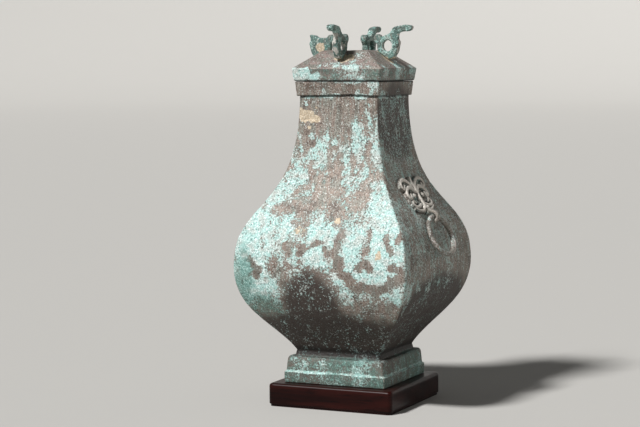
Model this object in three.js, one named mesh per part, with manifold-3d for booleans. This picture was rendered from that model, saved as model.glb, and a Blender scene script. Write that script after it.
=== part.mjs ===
// Square bronze jar with a hipped lid, two mask-and-ring handles and a fitted hardwood stand
// Millimetres, +Z up. The origin is the middle of the stand's underside, and the masks face +X and -X.

import * as THREE from 'three';
import { mergeVertices } from 'three/addons/utils/BufferGeometryUtils.js';
import Module from 'manifold-3d';

const wasm = await Module();
wasm.setup();

// Clearance between pieces that touch
const GAP = 0.3;

// Hardwood stand: a soft-edged slab on a thin inset strip
const STAND_WIDTH = 159;
const STAND_HEIGHT = 27.7;
const STAND_CORNER_RADIUS = 5;
const STAND_EDGE_RADIUS = 2.5;
const STRIP_HEIGHT = 2.8;
const STRIP_INSET = 1.3;

// Jar: heights are measured from the underside of the foot, widths across the flats
const JAR_HEIGHT = 360;
const JAR_WALL = 3.5;
const ARRIS_RADIUS = 3;
const FOOT_WIDTH = 130;
const FOOT_HEIGHT = 31.5;
const FOOT_BAND_HEIGHT = 13;
const FOOT_LEDGE = 1.8;
const FOOT_LEAN = 1.6;
const FOOT_TOP_RADIUS = 3.5;
const FOOT_WALL = 4.5;
const WAIST_WIDTH = 107.4;
const WAIST_HEIGHT = 38.1;
const BELLY_WIDTH = 220;
const BELLY_HEIGHT = 141.8;
const NECK_WIDTH = 100.8;
const COLLAR_HEIGHT = 16.3;
const COLLAR_PROUD = 2.8;
const COLLAR_FLARE = 1.7;
const RIM_CHAMFER = 0.7;
const FLOOR_THICKNESS = 4;

// Pull of the body's curves, as shares of the height or width that each curve spans
const SHOULDER_PULL = 0.4;
const NECK_PULL = 0.69;
const WAIST_PULL_OUT = 0.34;
const WAIST_PULL_UP = 0.33;
const BELLY_PULL = 0.52;

// Lid: heights are measured from its seat on the rim
const LID_WALL = 3;
const FASCIA_HEIGHT = 14.9;
const FASCIA_OVERHANG = 0.5;
const FASCIA_FLARE = 2.4;
const ROOF_ANGLE = THREE.MathUtils.degToRad(37);
const ROOF_RISE = 21.4;
const FLANGE_DEPTH = 14;
const FLANGE_WALL = 2.5;
const FLANGE_CLEARANCE = 1;

// Finials: one upright scroll plate in the middle of each slope of the lid
const FINIAL_RADIUS = 42;
const FINIAL_HEIGHT = 40;
const FINIAL_THICKNESS = 8;
const FINIAL_EDGE = 1;
const FINIAL_HOLE_WIDTH = 12.2;
const FINIAL_HOLE_HEIGHT = 13.6;

// Masks: relief on the shoulder, above the belly's widest line
const MASK_WIDTH = 76;
const MASK_RISE = 63.5;
const MASK_GROUND = 2;
const MASK_RELIEF = 5.5;
const RELIEF_BEVEL = 1;
const RELIEF_ROOT = 0.5;

// Shares of the mask's width: the height of its ground, and the ground's width at the chin and at the brow
const GROUND_HEIGHT_SHARE = 0.54;
const CHIN_SHARE = 0.72;
const BROW_SHARE = 0.9;

// Rings: they hang from the hook under each mask's nose
const RING_DIAMETER = 54.6;
const RING_BAR = 6;
const RING_DROP = 10.5;
const RING_STANDOFF = 3;
const RIGHT_RING_TWIST = THREE.MathUtils.degToRad(7);
const HOOK_CLEARANCE = 1.4;
const HOOK_BAR = 3.6;
const HOOK_WIDTH = 8;
const HOOK_EDGE = 0.7;

// Directions from the ring's bar to the hook's bar, in degrees from straight up the face, from root to tip
const HOOK_TURNS = [58, 20, -20, -60, -105];

// Facets
const ARRIS_STEPS = 2;
const ROUND_STEPS = 3;
const PROFILE_STEPS = 14;
const SCROLL_STEPS = 12;
const ARM_STEPS = 20;
const STUB_STEPS = 5;
const BAND_STEPS = 8;
const LIP_STEPS = 4;
const GROUND_STEPS = 8;
const BOSS_SIDES = 8;
const EYELID_SIDES = 5;
const EYELID_STEPS = 10;
const HOOK_STEPS = 9;
const RING_SIDES = 8;
const RING_STEPS = 30;

// How closely a search by halving closes in, in millimetres and in radians, and the samples of a hanging ring
const LENGTH_TOLERANCE = 0.001;
const LEAN_TOLERANCE = 0.0005;
const LEAN_SAMPLES = 60;

const JAR_BASE = STAND_HEIGHT + GAP;
const RIM_LEVEL = JAR_BASE + JAR_HEIGHT;
const COLLAR_LEVEL = RIM_LEVEL - COLLAR_HEIGHT;
const LID_SEAT = RIM_LEVEL + GAP;

// The body's outline as two curves that meet at the widest line; x is the half width and y the level
const waist = new THREE.Vector2(WAIST_WIDTH / 2, JAR_BASE + WAIST_HEIGHT);
const belly = new THREE.Vector2(BELLY_WIDTH / 2, JAR_BASE + BELLY_HEIGHT);
const neck = new THREE.Vector2(NECK_WIDTH / 2, COLLAR_LEVEL);

const lowerCurve = new THREE.CubicBezierCurve(
  waist,
  new THREE.Vector2(
    waist.x + WAIST_PULL_OUT * (belly.x - waist.x),
    waist.y + WAIST_PULL_UP * (belly.y - waist.y),
  ),
  new THREE.Vector2(belly.x, belly.y - BELLY_PULL * (belly.y - waist.y)),
  belly,
);
const upperCurve = new THREE.CubicBezierCurve(
  belly,
  new THREE.Vector2(belly.x, belly.y + SHOULDER_PULL * (neck.y - belly.y)),
  new THREE.Vector2(neck.x, neck.y - NECK_PULL * (neck.y - belly.y)),
  neck,
);

const bronze = (color, roughness) => new THREE.MeshStandardMaterial({ color, roughness, metalness: 0.5 });

// A geometry as a closed solid, with its faces turned outward
function toSolid(geometry) {
  const bare = geometry.clone();
  bare.deleteAttribute('normal');
  bare.deleteAttribute('uv');
  const merged = mergeVertices(bare, 1e-4);
  const triVerts = [];
  for (let i = 0; i < merged.index.count; i += 3) {
    const [a, b, c] = [0, 1, 2].map((k) => merged.index.getX(i + k));
    if (a !== b && b !== c && c !== a) triVerts.push(a, b, c);
  }
  const corner = [new THREE.Vector3(), new THREE.Vector3(), new THREE.Vector3()];
  let volume = 0;
  for (let i = 0; i < triVerts.length; i += 3) {
    corner.forEach((v, k) => v.fromBufferAttribute(merged.attributes.position, triVerts[i + k]));
    volume += corner[0].dot(corner[1].clone().cross(corner[2]));
  }
  if (volume < 0) triVerts.reverse();
  return new wasm.Manifold(new wasm.Mesh({
    numProp: 3,
    vertProperties: new Float32Array(merged.attributes.position.array),
    triVerts: new Uint32Array(triVerts),
  }));
}

function toGeometry(solid) {
  const { vertProperties, triVerts } = solid.getMesh();
  const geometry = new THREE.BufferGeometry();
  geometry.setAttribute('position', new THREE.BufferAttribute(vertProperties, 3));
  geometry.setIndex(new THREE.BufferAttribute(triVerts, 1));
  geometry.computeVertexNormals();
  return geometry;
}

// A lathe whose rings are squares with rounded corners; the profile holds half widths and levels
function squareLathe(profile, cornerRadius, cornerSteps) {
  const sides = 4 * (cornerSteps + 1);
  const geometry = new THREE.LatheGeometry(profile, sides);
  const position = geometry.attributes.position;
  for (let i = 0; i < position.count; i++) {
    const { x: half, y: level } = profile[i % profile.length];
    const side = Math.floor(i / profile.length) % sides;
    const quarter = Math.floor(side / (cornerSteps + 1));
    const step = side % (cornerSteps + 1);
    const radius = Math.min(cornerRadius, half);
    const middle = (quarter + 0.5) * Math.PI / 2;
    const turn = (quarter + step / cornerSteps) * Math.PI / 2;
    const centre = (half - radius) * Math.SQRT2;
    position.setXYZ(
      i,
      centre * Math.sin(middle) + radius * Math.sin(turn),
      level,
      centre * Math.cos(middle) + radius * Math.cos(turn),
    );
  }
  return geometry.rotateX(Math.PI / 2);
}

// Points along a curve moved square to it, to the left of its direction when the distance is positive
function offsetPoints(curve, distance, steps) {
  const points = [];
  for (let i = 0; i <= steps; i++) {
    const tangent = curve.getTangent(i / steps);
    const normal = new THREE.Vector2(-tangent.y, tangent.x);
    points.push(curve.getPoint(i / steps).addScaledVector(normal, distance));
  }
  return points;
}

// A quarter round from the side of a block onto its top
function topRound(half, level, radius) {
  const points = [];
  for (let i = 0; i <= ROUND_STEPS; i++) {
    const turn = i / ROUND_STEPS * Math.PI / 2;
    points.push(new THREE.Vector2(
      half - radius * (1 - Math.cos(turn)),
      level - radius * (1 - Math.sin(turn)),
    ));
  }
  return points;
}

function makeStand() {
  const half = STAND_WIDTH / 2;
  const profile = [
    new THREE.Vector2(0, 0),
    new THREE.Vector2(half - STRIP_INSET, 0),
    new THREE.Vector2(half - STRIP_INSET, STRIP_HEIGHT),
    new THREE.Vector2(half, STRIP_HEIGHT),
    ...topRound(half, STAND_HEIGHT, STAND_EDGE_RADIUS),
    new THREE.Vector2(0, STAND_HEIGHT),
  ];
  const material = new THREE.MeshStandardMaterial({ color: '#3a130f', roughness: 0.3, metalness: 0 });
  const mesh = new THREE.Mesh(squareLathe(profile, STAND_CORNER_RADIUS, ARRIS_STEPS + 1), material);
  mesh.name = 'wooden_stand';
  return mesh;
}

// The whole section of the jar: under the floor, down inside the foot, up outside, over the rim
// and down inside
function makeJar() {
  const footHalf = FOOT_WIDTH / 2;
  const bandTop = JAR_BASE + FOOT_BAND_HEIGHT;
  const footTop = JAR_BASE + FOOT_HEIGHT;
  const shoulderHalf = footHalf - FOOT_LEDGE - FOOT_LEAN;
  const floorTop = waist.y + FLOOR_THICKNESS / 2;
  const floorUnder = waist.y - FLOOR_THICKNESS / 2;
  const collarFoot = neck.x + COLLAR_PROUD;
  const collarTop = collarFoot + COLLAR_FLARE;
  const lowerInside = offsetPoints(lowerCurve, JAR_WALL, PROFILE_STEPS)
    .filter((p) => p.y > floorTop + JAR_WALL);
  const upperInside = offsetPoints(upperCurve, JAR_WALL, PROFILE_STEPS);
  const profile = [
    new THREE.Vector2(0, floorUnder),
    new THREE.Vector2(waist.x - JAR_WALL, floorUnder),
    new THREE.Vector2(shoulderHalf - FOOT_WALL, footTop - FOOT_TOP_RADIUS),
    new THREE.Vector2(footHalf - FOOT_WALL, JAR_BASE),
    new THREE.Vector2(footHalf, JAR_BASE),
    new THREE.Vector2(footHalf, bandTop),
    new THREE.Vector2(footHalf - FOOT_LEDGE, bandTop),
    ...topRound(shoulderHalf, footTop, FOOT_TOP_RADIUS),
    ...lowerCurve.getPoints(PROFILE_STEPS),
    ...upperCurve.getPoints(PROFILE_STEPS).slice(1),
    new THREE.Vector2(collarFoot, COLLAR_LEVEL),
    new THREE.Vector2(collarTop, RIM_LEVEL - RIM_CHAMFER),
    new THREE.Vector2(collarTop - RIM_CHAMFER, RIM_LEVEL),
    new THREE.Vector2(neck.x - JAR_WALL, RIM_LEVEL),
    ...upperInside.reverse(),
    ...lowerInside.reverse().slice(1),
    new THREE.Vector2(lowerInside[lowerInside.length - 1].x - JAR_WALL, floorTop),
    new THREE.Vector2(0, floorTop),
  ];
  const mesh = new THREE.Mesh(squareLathe(profile, ARRIS_RADIUS, ARRIS_STEPS), bronze('#6f7f74', 0.7));
  mesh.name = 'jar_body';
  return mesh;
}

// The fascia starts just proud of the collar and leans outward to the eaves
const fasciaFoot = neck.x + COLLAR_PROUD + COLLAR_FLARE + FASCIA_OVERHANG;
const eavesHalf = fasciaFoot + FASCIA_FLARE;
const eavesLevel = LID_SEAT + FASCIA_HEIGHT;

// Level of the roof's slope at a distance from the middle of the lid
const roofLevel = (radius) => eavesLevel + Math.tan(ROOF_ANGLE) * (eavesHalf - radius);

function makeLid() {
  const plateauHalf = eavesHalf - ROOF_RISE / Math.tan(ROOF_ANGLE);
  const roofTop = eavesLevel + ROOF_RISE;
  const flangeOuter = neck.x - JAR_WALL - FLANGE_CLEARANCE;
  const flangeInner = flangeOuter - FLANGE_WALL;
  const slopeWall = LID_WALL / Math.cos(ROOF_ANGLE);
  const plateauInner = plateauHalf - LID_WALL * Math.tan(ROOF_ANGLE / 2);
  const profile = [
    new THREE.Vector2(0, roofTop - LID_WALL),
    new THREE.Vector2(plateauInner, roofTop - LID_WALL),
    new THREE.Vector2(flangeInner, roofLevel(flangeInner) - slopeWall),
    new THREE.Vector2(flangeInner, LID_SEAT - FLANGE_DEPTH),
    new THREE.Vector2(flangeOuter, LID_SEAT - FLANGE_DEPTH),
    new THREE.Vector2(flangeOuter, LID_SEAT),
    new THREE.Vector2(fasciaFoot - RIM_CHAMFER, LID_SEAT),
    new THREE.Vector2(fasciaFoot, LID_SEAT + RIM_CHAMFER),
    new THREE.Vector2(eavesHalf, eavesLevel),
    new THREE.Vector2(plateauHalf, roofTop),
    new THREE.Vector2(0, roofTop),
  ];
  const mesh = new THREE.Mesh(squareLathe(profile, ARRIS_RADIUS, ARRIS_STEPS), bronze('#77685f', 0.7));
  mesh.name = 'lid';
  return mesh;
}

// The scroll's outline as shares of its height, from its place on the slope: x is out along it, y is up
const finialPoint = ([x, y]) => new THREE.Vector2(x * FINIAL_HEIGHT, y * FINIAL_HEIGHT);
const slopePoint = (x) => new THREE.Vector2(
  x * FINIAL_HEIGHT,
  GAP / Math.cos(ROOF_ANGLE) - Math.tan(ROOF_ANGLE) * x * FINIAL_HEIGHT,
);

// Inner back of the scroll, from its root up to the curled lobe and down into the notch
const finialInner = new THREE.SplineCurve([
  [-0.29, 0.3], [-0.305, 0.43], [-0.4, 0.53], [-0.385, 0.66], [-0.29, 0.715], [-0.21, 0.69], [-0.16, 0.625],
].map(finialPoint));

// From the notch along the arm's upper edge to its rounded tip and back along its lower edge
const finialArm = new THREE.SplineCurve([
  [-0.03, 0.69], [0.1, 0.74], [0.21, 0.89], [0.34, 0.95], [0.62, 0.985],
  [0.8, 0.955], [0.82, 0.87], [0.72, 0.8], [0.5, 0.785], [0.39, 0.74], [0.37, 0.64],
].map(finialPoint));

// The same edge where the arm has broken away and left a stub
const finialStub = [[-0.03, 0.62], [0.12, 0.63]].map(finialPoint);
const finialStubEnd = new THREE.SplineCurve([
  [0.24, 0.7], [0.4, 0.71], [0.38, 0.61],
].map(finialPoint));

// Round outer back of the ring, down to the root
const finialOuter = new THREE.SplineCurve([
  [0.375, 0.56], [0.42, 0.46], [0.385, 0.32], [0.345, 0.17], [0.24, 0.0],
].map(finialPoint));

// Middle of the scroll's eye
const finialHole = finialPoint([0.03, 0.365]);

function makeFinial(name, broken) {
  const armEdge = broken
    ? [...finialStub, ...finialStubEnd.getPoints(STUB_STEPS)]
    : finialArm.getPoints(ARM_STEPS);
  const outline = new THREE.Shape([
    slopePoint(-0.26),
    ...finialInner.getPoints(SCROLL_STEPS),
    ...armEdge,
    ...finialOuter.getPoints(BAND_STEPS),
    slopePoint(0.06),
  ]);
  if (!broken) {
    const eye = new THREE.EllipseCurve(
      finialHole.x, finialHole.y, FINIAL_HOLE_WIDTH / 2, FINIAL_HOLE_HEIGHT / 2,
    );
    outline.holes.push(new THREE.Path(eye.getPoints(SCROLL_STEPS)));
  }
  const geometry = new THREE.ExtrudeGeometry(outline, {
    depth: FINIAL_THICKNESS - 2 * FINIAL_EDGE,
    bevelThickness: FINIAL_EDGE,
    bevelSize: FINIAL_EDGE,
    bevelOffset: -FINIAL_EDGE,
    bevelSegments: 1,
  });
  geometry.translate(0, 0, FINIAL_EDGE - FINIAL_THICKNESS / 2).rotateX(Math.PI / 2);
  const mesh = new THREE.Mesh(toGeometry(toSolid(geometry)), bronze('#5f8f85', 0.75));
  mesh.name = name;
  mesh.position.set(FINIAL_RADIUS, 0, roofLevel(FINIAL_RADIUS));
  return mesh;
}

// Length along the upper curve from the widest line to a level
function arcTo(level) {
  let low = 0;
  let high = upperCurve.getLength();
  const full = high;
  while (high - low > LENGTH_TOLERANCE) {
    const middle = (low + high) / 2;
    if (upperCurve.getPointAt(middle / full).y < level) low = middle;
    else high = middle;
  }
  return low;
}

const shoulderLength = upperCurve.getLength();
const chinArc = arcTo(belly.y + MASK_RISE);

// A point on the right face: u across it, v up along it from the mask's chin, h out from the metal
function onFace(u, v, h) {
  const share = (chinArc + v) / shoulderLength;
  const foot = upperCurve.getPointAt(share);
  const tangent = upperCurve.getTangentAt(share);
  return new THREE.Vector3(foot.x + tangent.y * h, u, foot.y - tangent.x * h);
}

function bendOntoFace(geometry) {
  const position = geometry.attributes.position;
  for (let i = 0; i < position.count; i++) {
    const p = onFace(position.getX(i), position.getY(i), position.getZ(i));
    position.setXYZ(i, p.x, p.y, p.z);
  }
  return geometry;
}

// A point of the mask as shares of its width: across from the middle, and up from the chin
const maskPoint = ([u, v]) => new THREE.Vector2(u * MASK_WIDTH, v * MASK_WIDTH);

// A band that follows a curve and changes from one width to the other, mostly near its end
function bandShape(points, steps, startWidth, endWidth) {
  const curve = new THREE.SplineCurve(points.map(maskPoint));
  const left = [];
  const right = [];
  for (let i = 0; i <= steps; i++) {
    const tangent = curve.getTangent(i / steps);
    const normal = new THREE.Vector2(-tangent.y, tangent.x);
    const reach = THREE.MathUtils.lerp(startWidth, endWidth, (i / steps) ** 2) * MASK_WIDTH / 2;
    left.push(curve.getPoint(i / steps).addScaledVector(normal, reach));
    right.unshift(curve.getPoint(i / steps).addScaledVector(normal, -reach));
  }
  return new THREE.Shape([...left, ...right]);
}

// Relief that starts inside the mask's ground and stands up to the given share of the full relief
function raised(shape, share) {
  const root = GAP + RELIEF_ROOT;
  const geometry = new THREE.ExtrudeGeometry(shape, {
    depth: MASK_RELIEF * share - root - 2 * RELIEF_BEVEL,
    bevelThickness: RELIEF_BEVEL,
    bevelSize: RELIEF_BEVEL,
    bevelOffset: -RELIEF_BEVEL,
    bevelSegments: 1,
  });
  return geometry.translate(0, 0, root + RELIEF_BEVEL);
}

// A low round boss, closed underneath inside the mask's ground
function boss([u, v], radius, share) {
  const root = GAP + RELIEF_ROOT;
  const reach = radius * MASK_WIDTH;
  const rise = MASK_RELIEF * share - root;
  const profile = [new THREE.Vector2(0, root)];
  for (let i = 0; i < ROUND_STEPS; i++) {
    const turn = i / ROUND_STEPS * Math.PI / 2;
    profile.push(new THREE.Vector2(reach * Math.cos(turn), root + rise * Math.sin(turn)));
  }
  profile.push(new THREE.Vector2(0, root + rise));
  const { x, y } = maskPoint([u, v]);
  return new THREE.LatheGeometry(profile, BOSS_SIDES).rotateX(Math.PI / 2).translate(x, y, 0);
}

// Thin ground of the mask, narrower at the chin
function maskGround() {
  const height = GROUND_HEIGHT_SHARE * MASK_WIDTH;
  const geometry = new THREE.BoxGeometry(1, height, MASK_GROUND, 1, GROUND_STEPS, 1);
  geometry.translate(0, height / 2, GAP + MASK_GROUND / 2);
  const position = geometry.attributes.position;
  for (let i = 0; i < position.count; i++) {
    const share = position.getY(i) / height;
    const width = THREE.MathUtils.lerp(CHIN_SHARE, BROW_SHARE, share) * MASK_WIDTH;
    position.setX(i, position.getX(i) * width);
  }
  return geometry;
}

// A raised ring round an eye, half sunk in the ground
function eyelid([u, v], radius, bar) {
  const { x, y } = maskPoint([u, v]);
  const ring = new THREE.TorusGeometry(radius * MASK_WIDTH, bar * MASK_WIDTH, EYELID_SIDES, EYELID_STEPS);
  return ring.translate(x, y, GAP + MASK_GROUND);
}

const mirrored = (points) => points.map(([u, v]) => [-u, v]);

// Middle of the ring's bar where it hangs, in the vertical plane through the hook
const ringSeat = onFace(0, -RING_DROP, RING_BAR / 2 + RING_STANDOFF);
const seatTangent = upperCurve.getTangentAt((chinArc - RING_DROP) / shoulderLength);

// The hook's bar runs from inside the nose out and down round the ring's bar, nearly back to the metal
function makeHook() {
  const reach = RING_BAR / 2 + HOOK_CLEARANCE + HOOK_BAR / 2;
  const turnPoint = (degrees) => {
    const turn = THREE.MathUtils.degToRad(degrees);
    return new THREE.Vector2(reach * Math.sin(turn), reach * Math.cos(turn));
  };
  const noseEnd = new THREE.Vector2(RING_DROP + MASK_GROUND, -RING_BAR / 2);
  const curve = new THREE.SplineCurve([noseEnd, ...HOOK_TURNS.map(turnPoint)]);
  const upper = offsetPoints(curve, HOOK_BAR / 2, HOOK_STEPS);
  const lower = offsetPoints(curve, -HOOK_BAR / 2, HOOK_STEPS);
  const geometry = new THREE.ExtrudeGeometry(new THREE.Shape([...upper, ...lower.reverse()]), {
    depth: HOOK_WIDTH - 2 * HOOK_EDGE,
    bevelThickness: HOOK_EDGE,
    bevelSize: HOOK_EDGE,
    bevelOffset: -HOOK_EDGE,
    bevelSegments: 1,
  });
  geometry.translate(0, 0, HOOK_EDGE - HOOK_WIDTH / 2);
  const position = geometry.attributes.position;
  for (let i = 0; i < position.count; i++) {
    const up = position.getX(i);
    const out = position.getY(i);
    position.setXYZ(
      i,
      ringSeat.x + seatTangent.x * up + seatTangent.y * out,
      position.getZ(i),
      ringSeat.z + seatTangent.y * up - seatTangent.x * out,
    );
  }
  return geometry;
}

function makeMask(name) {
  const brow = [
    [0.05, 0.34], [0.16, 0.42], [0.29, 0.41], [0.39, 0.34], [0.39, 0.26], [0.32, 0.24], [0.29, 0.3],
  ];
  const horn = [
    [0.08, 0.44], [0.18, 0.53], [0.31, 0.57], [0.43, 0.53], [0.46, 0.45], [0.4, 0.41], [0.35, 0.47],
  ];
  const cheek = [[0.1, 0.11], [0.2, 0.08], [0.32, 0.09], [0.37, 0.14], [0.32, 0.19], [0.26, 0.15]];
  const lip = [[0, 0.02], [0.13, 0], [0.26, 0.02], [0.35, 0.06]];
  const nose = [[0, 0.48], [0, 0.3], [0, 0.12], [0, -0.03]];
  const crest = [[0, 0.65], [0.08, 0.55], [0.055, 0.46], [-0.055, 0.46], [-0.08, 0.55]];
  const eye = [0.17, 0.275];
  const nostril = [0.07, 0.04];
  const relief = [
    raised(bandShape(nose, LIP_STEPS, 0.06, 0.13), 1),
    raised(new THREE.Shape(crest.map(maskPoint)), 0.8),
  ];
  for (const side of [(points) => points, mirrored]) {
    relief.push(
      raised(bandShape(side(brow), BAND_STEPS, 0.07, 0.045), 0.95),
      raised(bandShape(side(horn), BAND_STEPS, 0.07, 0.045), 0.85),
      raised(bandShape(side(cheek), BAND_STEPS, 0.06, 0.045), 0.8),
      raised(bandShape(side(lip), LIP_STEPS, 0.07, 0.04), 0.75),
      eyelid(side([eye])[0], 0.085, 0.019),
      boss(side([eye])[0], 0.055, 1),
      boss(side([nostril])[0], 0.05, 1.1),
    );
  }
  const mask = relief.reduce(
    (solid, piece) => solid.add(toSolid(bendOntoFace(piece))),
    toSolid(bendOntoFace(maskGround())),
  );
  const mesh = new THREE.Mesh(toGeometry(mask.add(toSolid(makeHook()))), bronze('#8a8078', 0.6));
  mesh.name = name;
  return mesh;
}

// Lean of the hanging ring from the plumb line, where the nearest side of its bar just clears the belly
function restingLean(twist) {
  const profile = [...lowerCurve.getPoints(LEAN_SAMPLES), ...upperCurve.getPoints(2 * LEAN_SAMPLES)];
  const radius = (RING_DIAMETER - RING_BAR) / 2;
  const clear = (lean) => {
    for (let turn = 0; turn <= Math.PI; turn += Math.PI / LEAN_SAMPLES) {
      const drop = radius * (1 - Math.cos(turn));
      const bar = new THREE.Vector2(
        ringSeat.x + drop * Math.sin(lean) * Math.cos(twist) - radius * Math.sin(turn) * Math.sin(twist),
        ringSeat.z - drop * Math.cos(lean),
      );
      const inside = profile.some((p) => Math.abs(p.y - bar.y) < RING_BAR / 4 && p.x > bar.x);
      if (inside || profile.some((p) => p.distanceTo(bar) < RING_BAR / 2 + GAP)) return false;
    }
    return true;
  };
  let low = 0;
  let high = Math.PI / 2;
  while (high - low > LEAN_TOLERANCE) {
    const middle = (low + high) / 2;
    if (clear(middle)) high = middle;
    else low = middle;
  }
  return high;
}

// The ring hangs from its seat, twisted a little about the plumb line where it has settled askew
function makeRing(name, twist) {
  const radius = (RING_DIAMETER - RING_BAR) / 2;
  const lean = restingLean(twist);
  const geometry = new THREE.TorusGeometry(radius, RING_BAR / 2, RING_SIDES, RING_STEPS);
  const mesh = new THREE.Mesh(geometry.rotateY(Math.PI / 2), bronze('#7d7069', 0.55));
  mesh.name = name;
  mesh.rotation.y = -lean;
  mesh.position.set(radius * Math.sin(lean), 0, -radius * Math.cos(lean));
  const seat = new THREE.Group();
  seat.position.copy(ringSeat);
  seat.rotation.z = -twist;
  return seat.add(mesh);
}

const jar = new THREE.Group();
jar.add(makeStand(), makeJar(), makeLid());

const slopes = [['front', -90, false], ['right', 0, false], ['back', 90, false], ['left', 180, true]];
for (const [side, turn, broken] of slopes) {
  const slope = new THREE.Group();
  slope.rotation.z = THREE.MathUtils.degToRad(turn);
  slope.add(makeFinial(`finial_${side}`, broken));
  jar.add(slope);
}

for (const [side, turn, twist] of [['right', 0, RIGHT_RING_TWIST], ['left', 180, 0]]) {
  const handle = new THREE.Group();
  handle.rotation.z = THREE.MathUtils.degToRad(turn);
  handle.add(makeMask(`mask_${side}`), makeRing(`ring_${side}`, twist));
  jar.add(handle);
}

export default jar;
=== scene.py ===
"""Looks of a square bronze jar with a hipped lid, mask-and-ring handles and a hardwood stand.

Metres, +Z up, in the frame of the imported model. The masks face +X and -X, and the front face looks along -Y.
"""

import logging
import math
from dataclasses import dataclass
from enum import Enum
from typing import ClassVar

import bpy
import numpy as np
from mathutils import Matrix, Vector


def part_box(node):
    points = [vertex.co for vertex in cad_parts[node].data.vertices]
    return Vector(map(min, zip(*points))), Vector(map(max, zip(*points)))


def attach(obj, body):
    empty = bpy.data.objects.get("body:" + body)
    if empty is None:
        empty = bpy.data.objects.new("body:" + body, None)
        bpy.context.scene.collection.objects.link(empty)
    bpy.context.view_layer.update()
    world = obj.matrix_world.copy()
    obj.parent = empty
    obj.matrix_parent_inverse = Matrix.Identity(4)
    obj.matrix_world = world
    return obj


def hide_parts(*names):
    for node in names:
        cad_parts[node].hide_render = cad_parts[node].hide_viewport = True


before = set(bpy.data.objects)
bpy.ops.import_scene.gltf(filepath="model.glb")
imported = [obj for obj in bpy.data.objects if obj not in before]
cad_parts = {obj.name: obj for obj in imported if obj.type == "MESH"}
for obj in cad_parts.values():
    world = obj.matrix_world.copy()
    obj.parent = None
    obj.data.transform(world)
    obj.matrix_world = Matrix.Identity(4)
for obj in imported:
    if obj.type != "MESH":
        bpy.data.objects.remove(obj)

MM = 0.001
FRAME_WIDTH_PX = 640
SENSOR_WIDTH = 36.0

# Half width of the smallest ring, next to a pole, and the largest share of an edge that one rounding may take
POLE_RING = 0.5 * MM
ROUNDING_SHARE = 0.45

# Sockets of Blender's Mix node in its colour form
MIX_A = 6
MIX_B = 7
MIX_COLOUR = 2

# Random patterns: large odd numbers that scatter a lattice point's hash, and how each finer octave differs
HASH_AXES = (73856093, 19349663, 83492791)
HASH_SEED = 40503001
HASH_SPREAD = 1274126177
OCTAVE_SHARE = 0.55
OCTAVE_SEED_STEP = 17

# Outlines of patches, in millimetres: spacing and reach of the noise that frays and bends them, the sizes of
# patch from which both act in full, and the softness past which they calm down
FRAY_SPACING = 9
FRAY_REACH = 24
FRAY_FULL_SIZE = 10
BEND_SPACING = 14
BEND_REACH = 26
BEND_FULL_SIZE = 9
FIRM_EDGE = 4

# Widths at the start and end and the height of the mask's fine strokes
FINE_STROKE = (0.042, 0.034, 0.62)

logging.basicConfig(level=logging.INFO, format="%(message)s")
log = logging.getLogger("jar")


class Side(Enum):
    """Faces of the square jar, counted round from the front, seen from above."""

    FRONT = 0
    RIGHT = 1
    BACK = 2
    LEFT = 3


def linear(code: str) -> tuple[float, float, float, float]:
    """Turn an sRGB hex colour such as "#7d6d66" into linear values with full alpha."""
    values = [int(code[i:i + 2], 16) / 255 for i in (1, 3, 5)]
    return (*[v / 12.92 if v <= 0.04045 else ((v + 0.055) / 1.055) ** 2.4 for v in values], 1.0)


def ramp(values: np.ndarray, low: float, high: float) -> np.ndarray:
    """Run smoothly from 0 at low to 1 at high, which may be the lower number."""
    t = np.clip((values - low) / (high - low), 0.0, 1.0)
    return t * t * (3 - 2 * t)


def lattice(points: np.ndarray, spacing: float, seed: int) -> np.ndarray:
    """Give smooth random values between 0 and 1 on a cubic lattice.

    Args:
        points: Places in metres, shaped (n, 3).
        spacing: Distance between lattice points in metres.
        seed: Fixed number that picks the pattern.

    Returns:
        One value for each place.
    """
    scaled = points / spacing
    cell = np.floor(scaled).astype(np.int64)
    t = scaled - cell
    t = t * t * (3 - 2 * t)
    total = np.zeros(len(points))
    for corner in range(8):
        step = np.array([(corner >> axis) & 1 for axis in range(3)])
        c = cell + step
        mixed = (c[:, 0] * HASH_AXES[0]) ^ (c[:, 1] * HASH_AXES[1]) ^ (c[:, 2] * HASH_AXES[2])
        mixed = mixed ^ (seed * HASH_SEED)
        mixed = (mixed ^ (mixed >> 13)) * HASH_SPREAD
        value = ((mixed ^ (mixed >> 16)) & 0xFFFF) / 0xFFFF
        total += value * np.prod(np.where(step, t, 1 - t), axis=1)
    return total


def cloud(points: np.ndarray, spacing: float, seed: int, octaves: int = 4) -> np.ndarray:
    """Give cloudy random values round 0.5, with detail down to spacing / 2 ** (octaves - 1).

    Args:
        points: Places in metres, shaped (n, 3).
        spacing: Size of the largest lumps in metres.
        seed: Fixed number that picks the pattern.
        octaves: How many times the detail halves in size.

    Returns:
        One value for each place, mostly between 0.2 and 0.8.
    """
    total = np.zeros(len(points))
    weights = 0.0
    for octave in range(octaves):
        weight = OCTAVE_SHARE ** octave
        total += weight * lattice(points, spacing / 2 ** octave, seed + OCTAVE_SEED_STEP * octave)
        weights += weight
    return total / weights


def add(
    tree: bpy.types.NodeTree, kind: str, inputs: dict | None = None, **settings: object
) -> bpy.types.Node:
    """Add a node with its settings, and set or link its inputs.

    Args:
        tree: Tree that takes the node.
        kind: Blender's name for the type of node.
        inputs: Values, or output sockets to link from, by the input's name or number.
        settings: Properties of the node.

    Returns:
        The new node.
    """
    node = tree.nodes.new(kind)
    for name, value in settings.items():
        setattr(node, name, value)
    for key, value in (inputs or {}).items():
        if isinstance(value, bpy.types.NodeSocket):
            tree.links.new(value, node.inputs[key])
        else:
            node.inputs[key].default_value = value
    return node


def per_mm(size: float) -> float:
    """Give the texture scale, on Object coordinates in metres, whose features are size millimetres wide."""
    return 1.0 / (size * MM)


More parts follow.
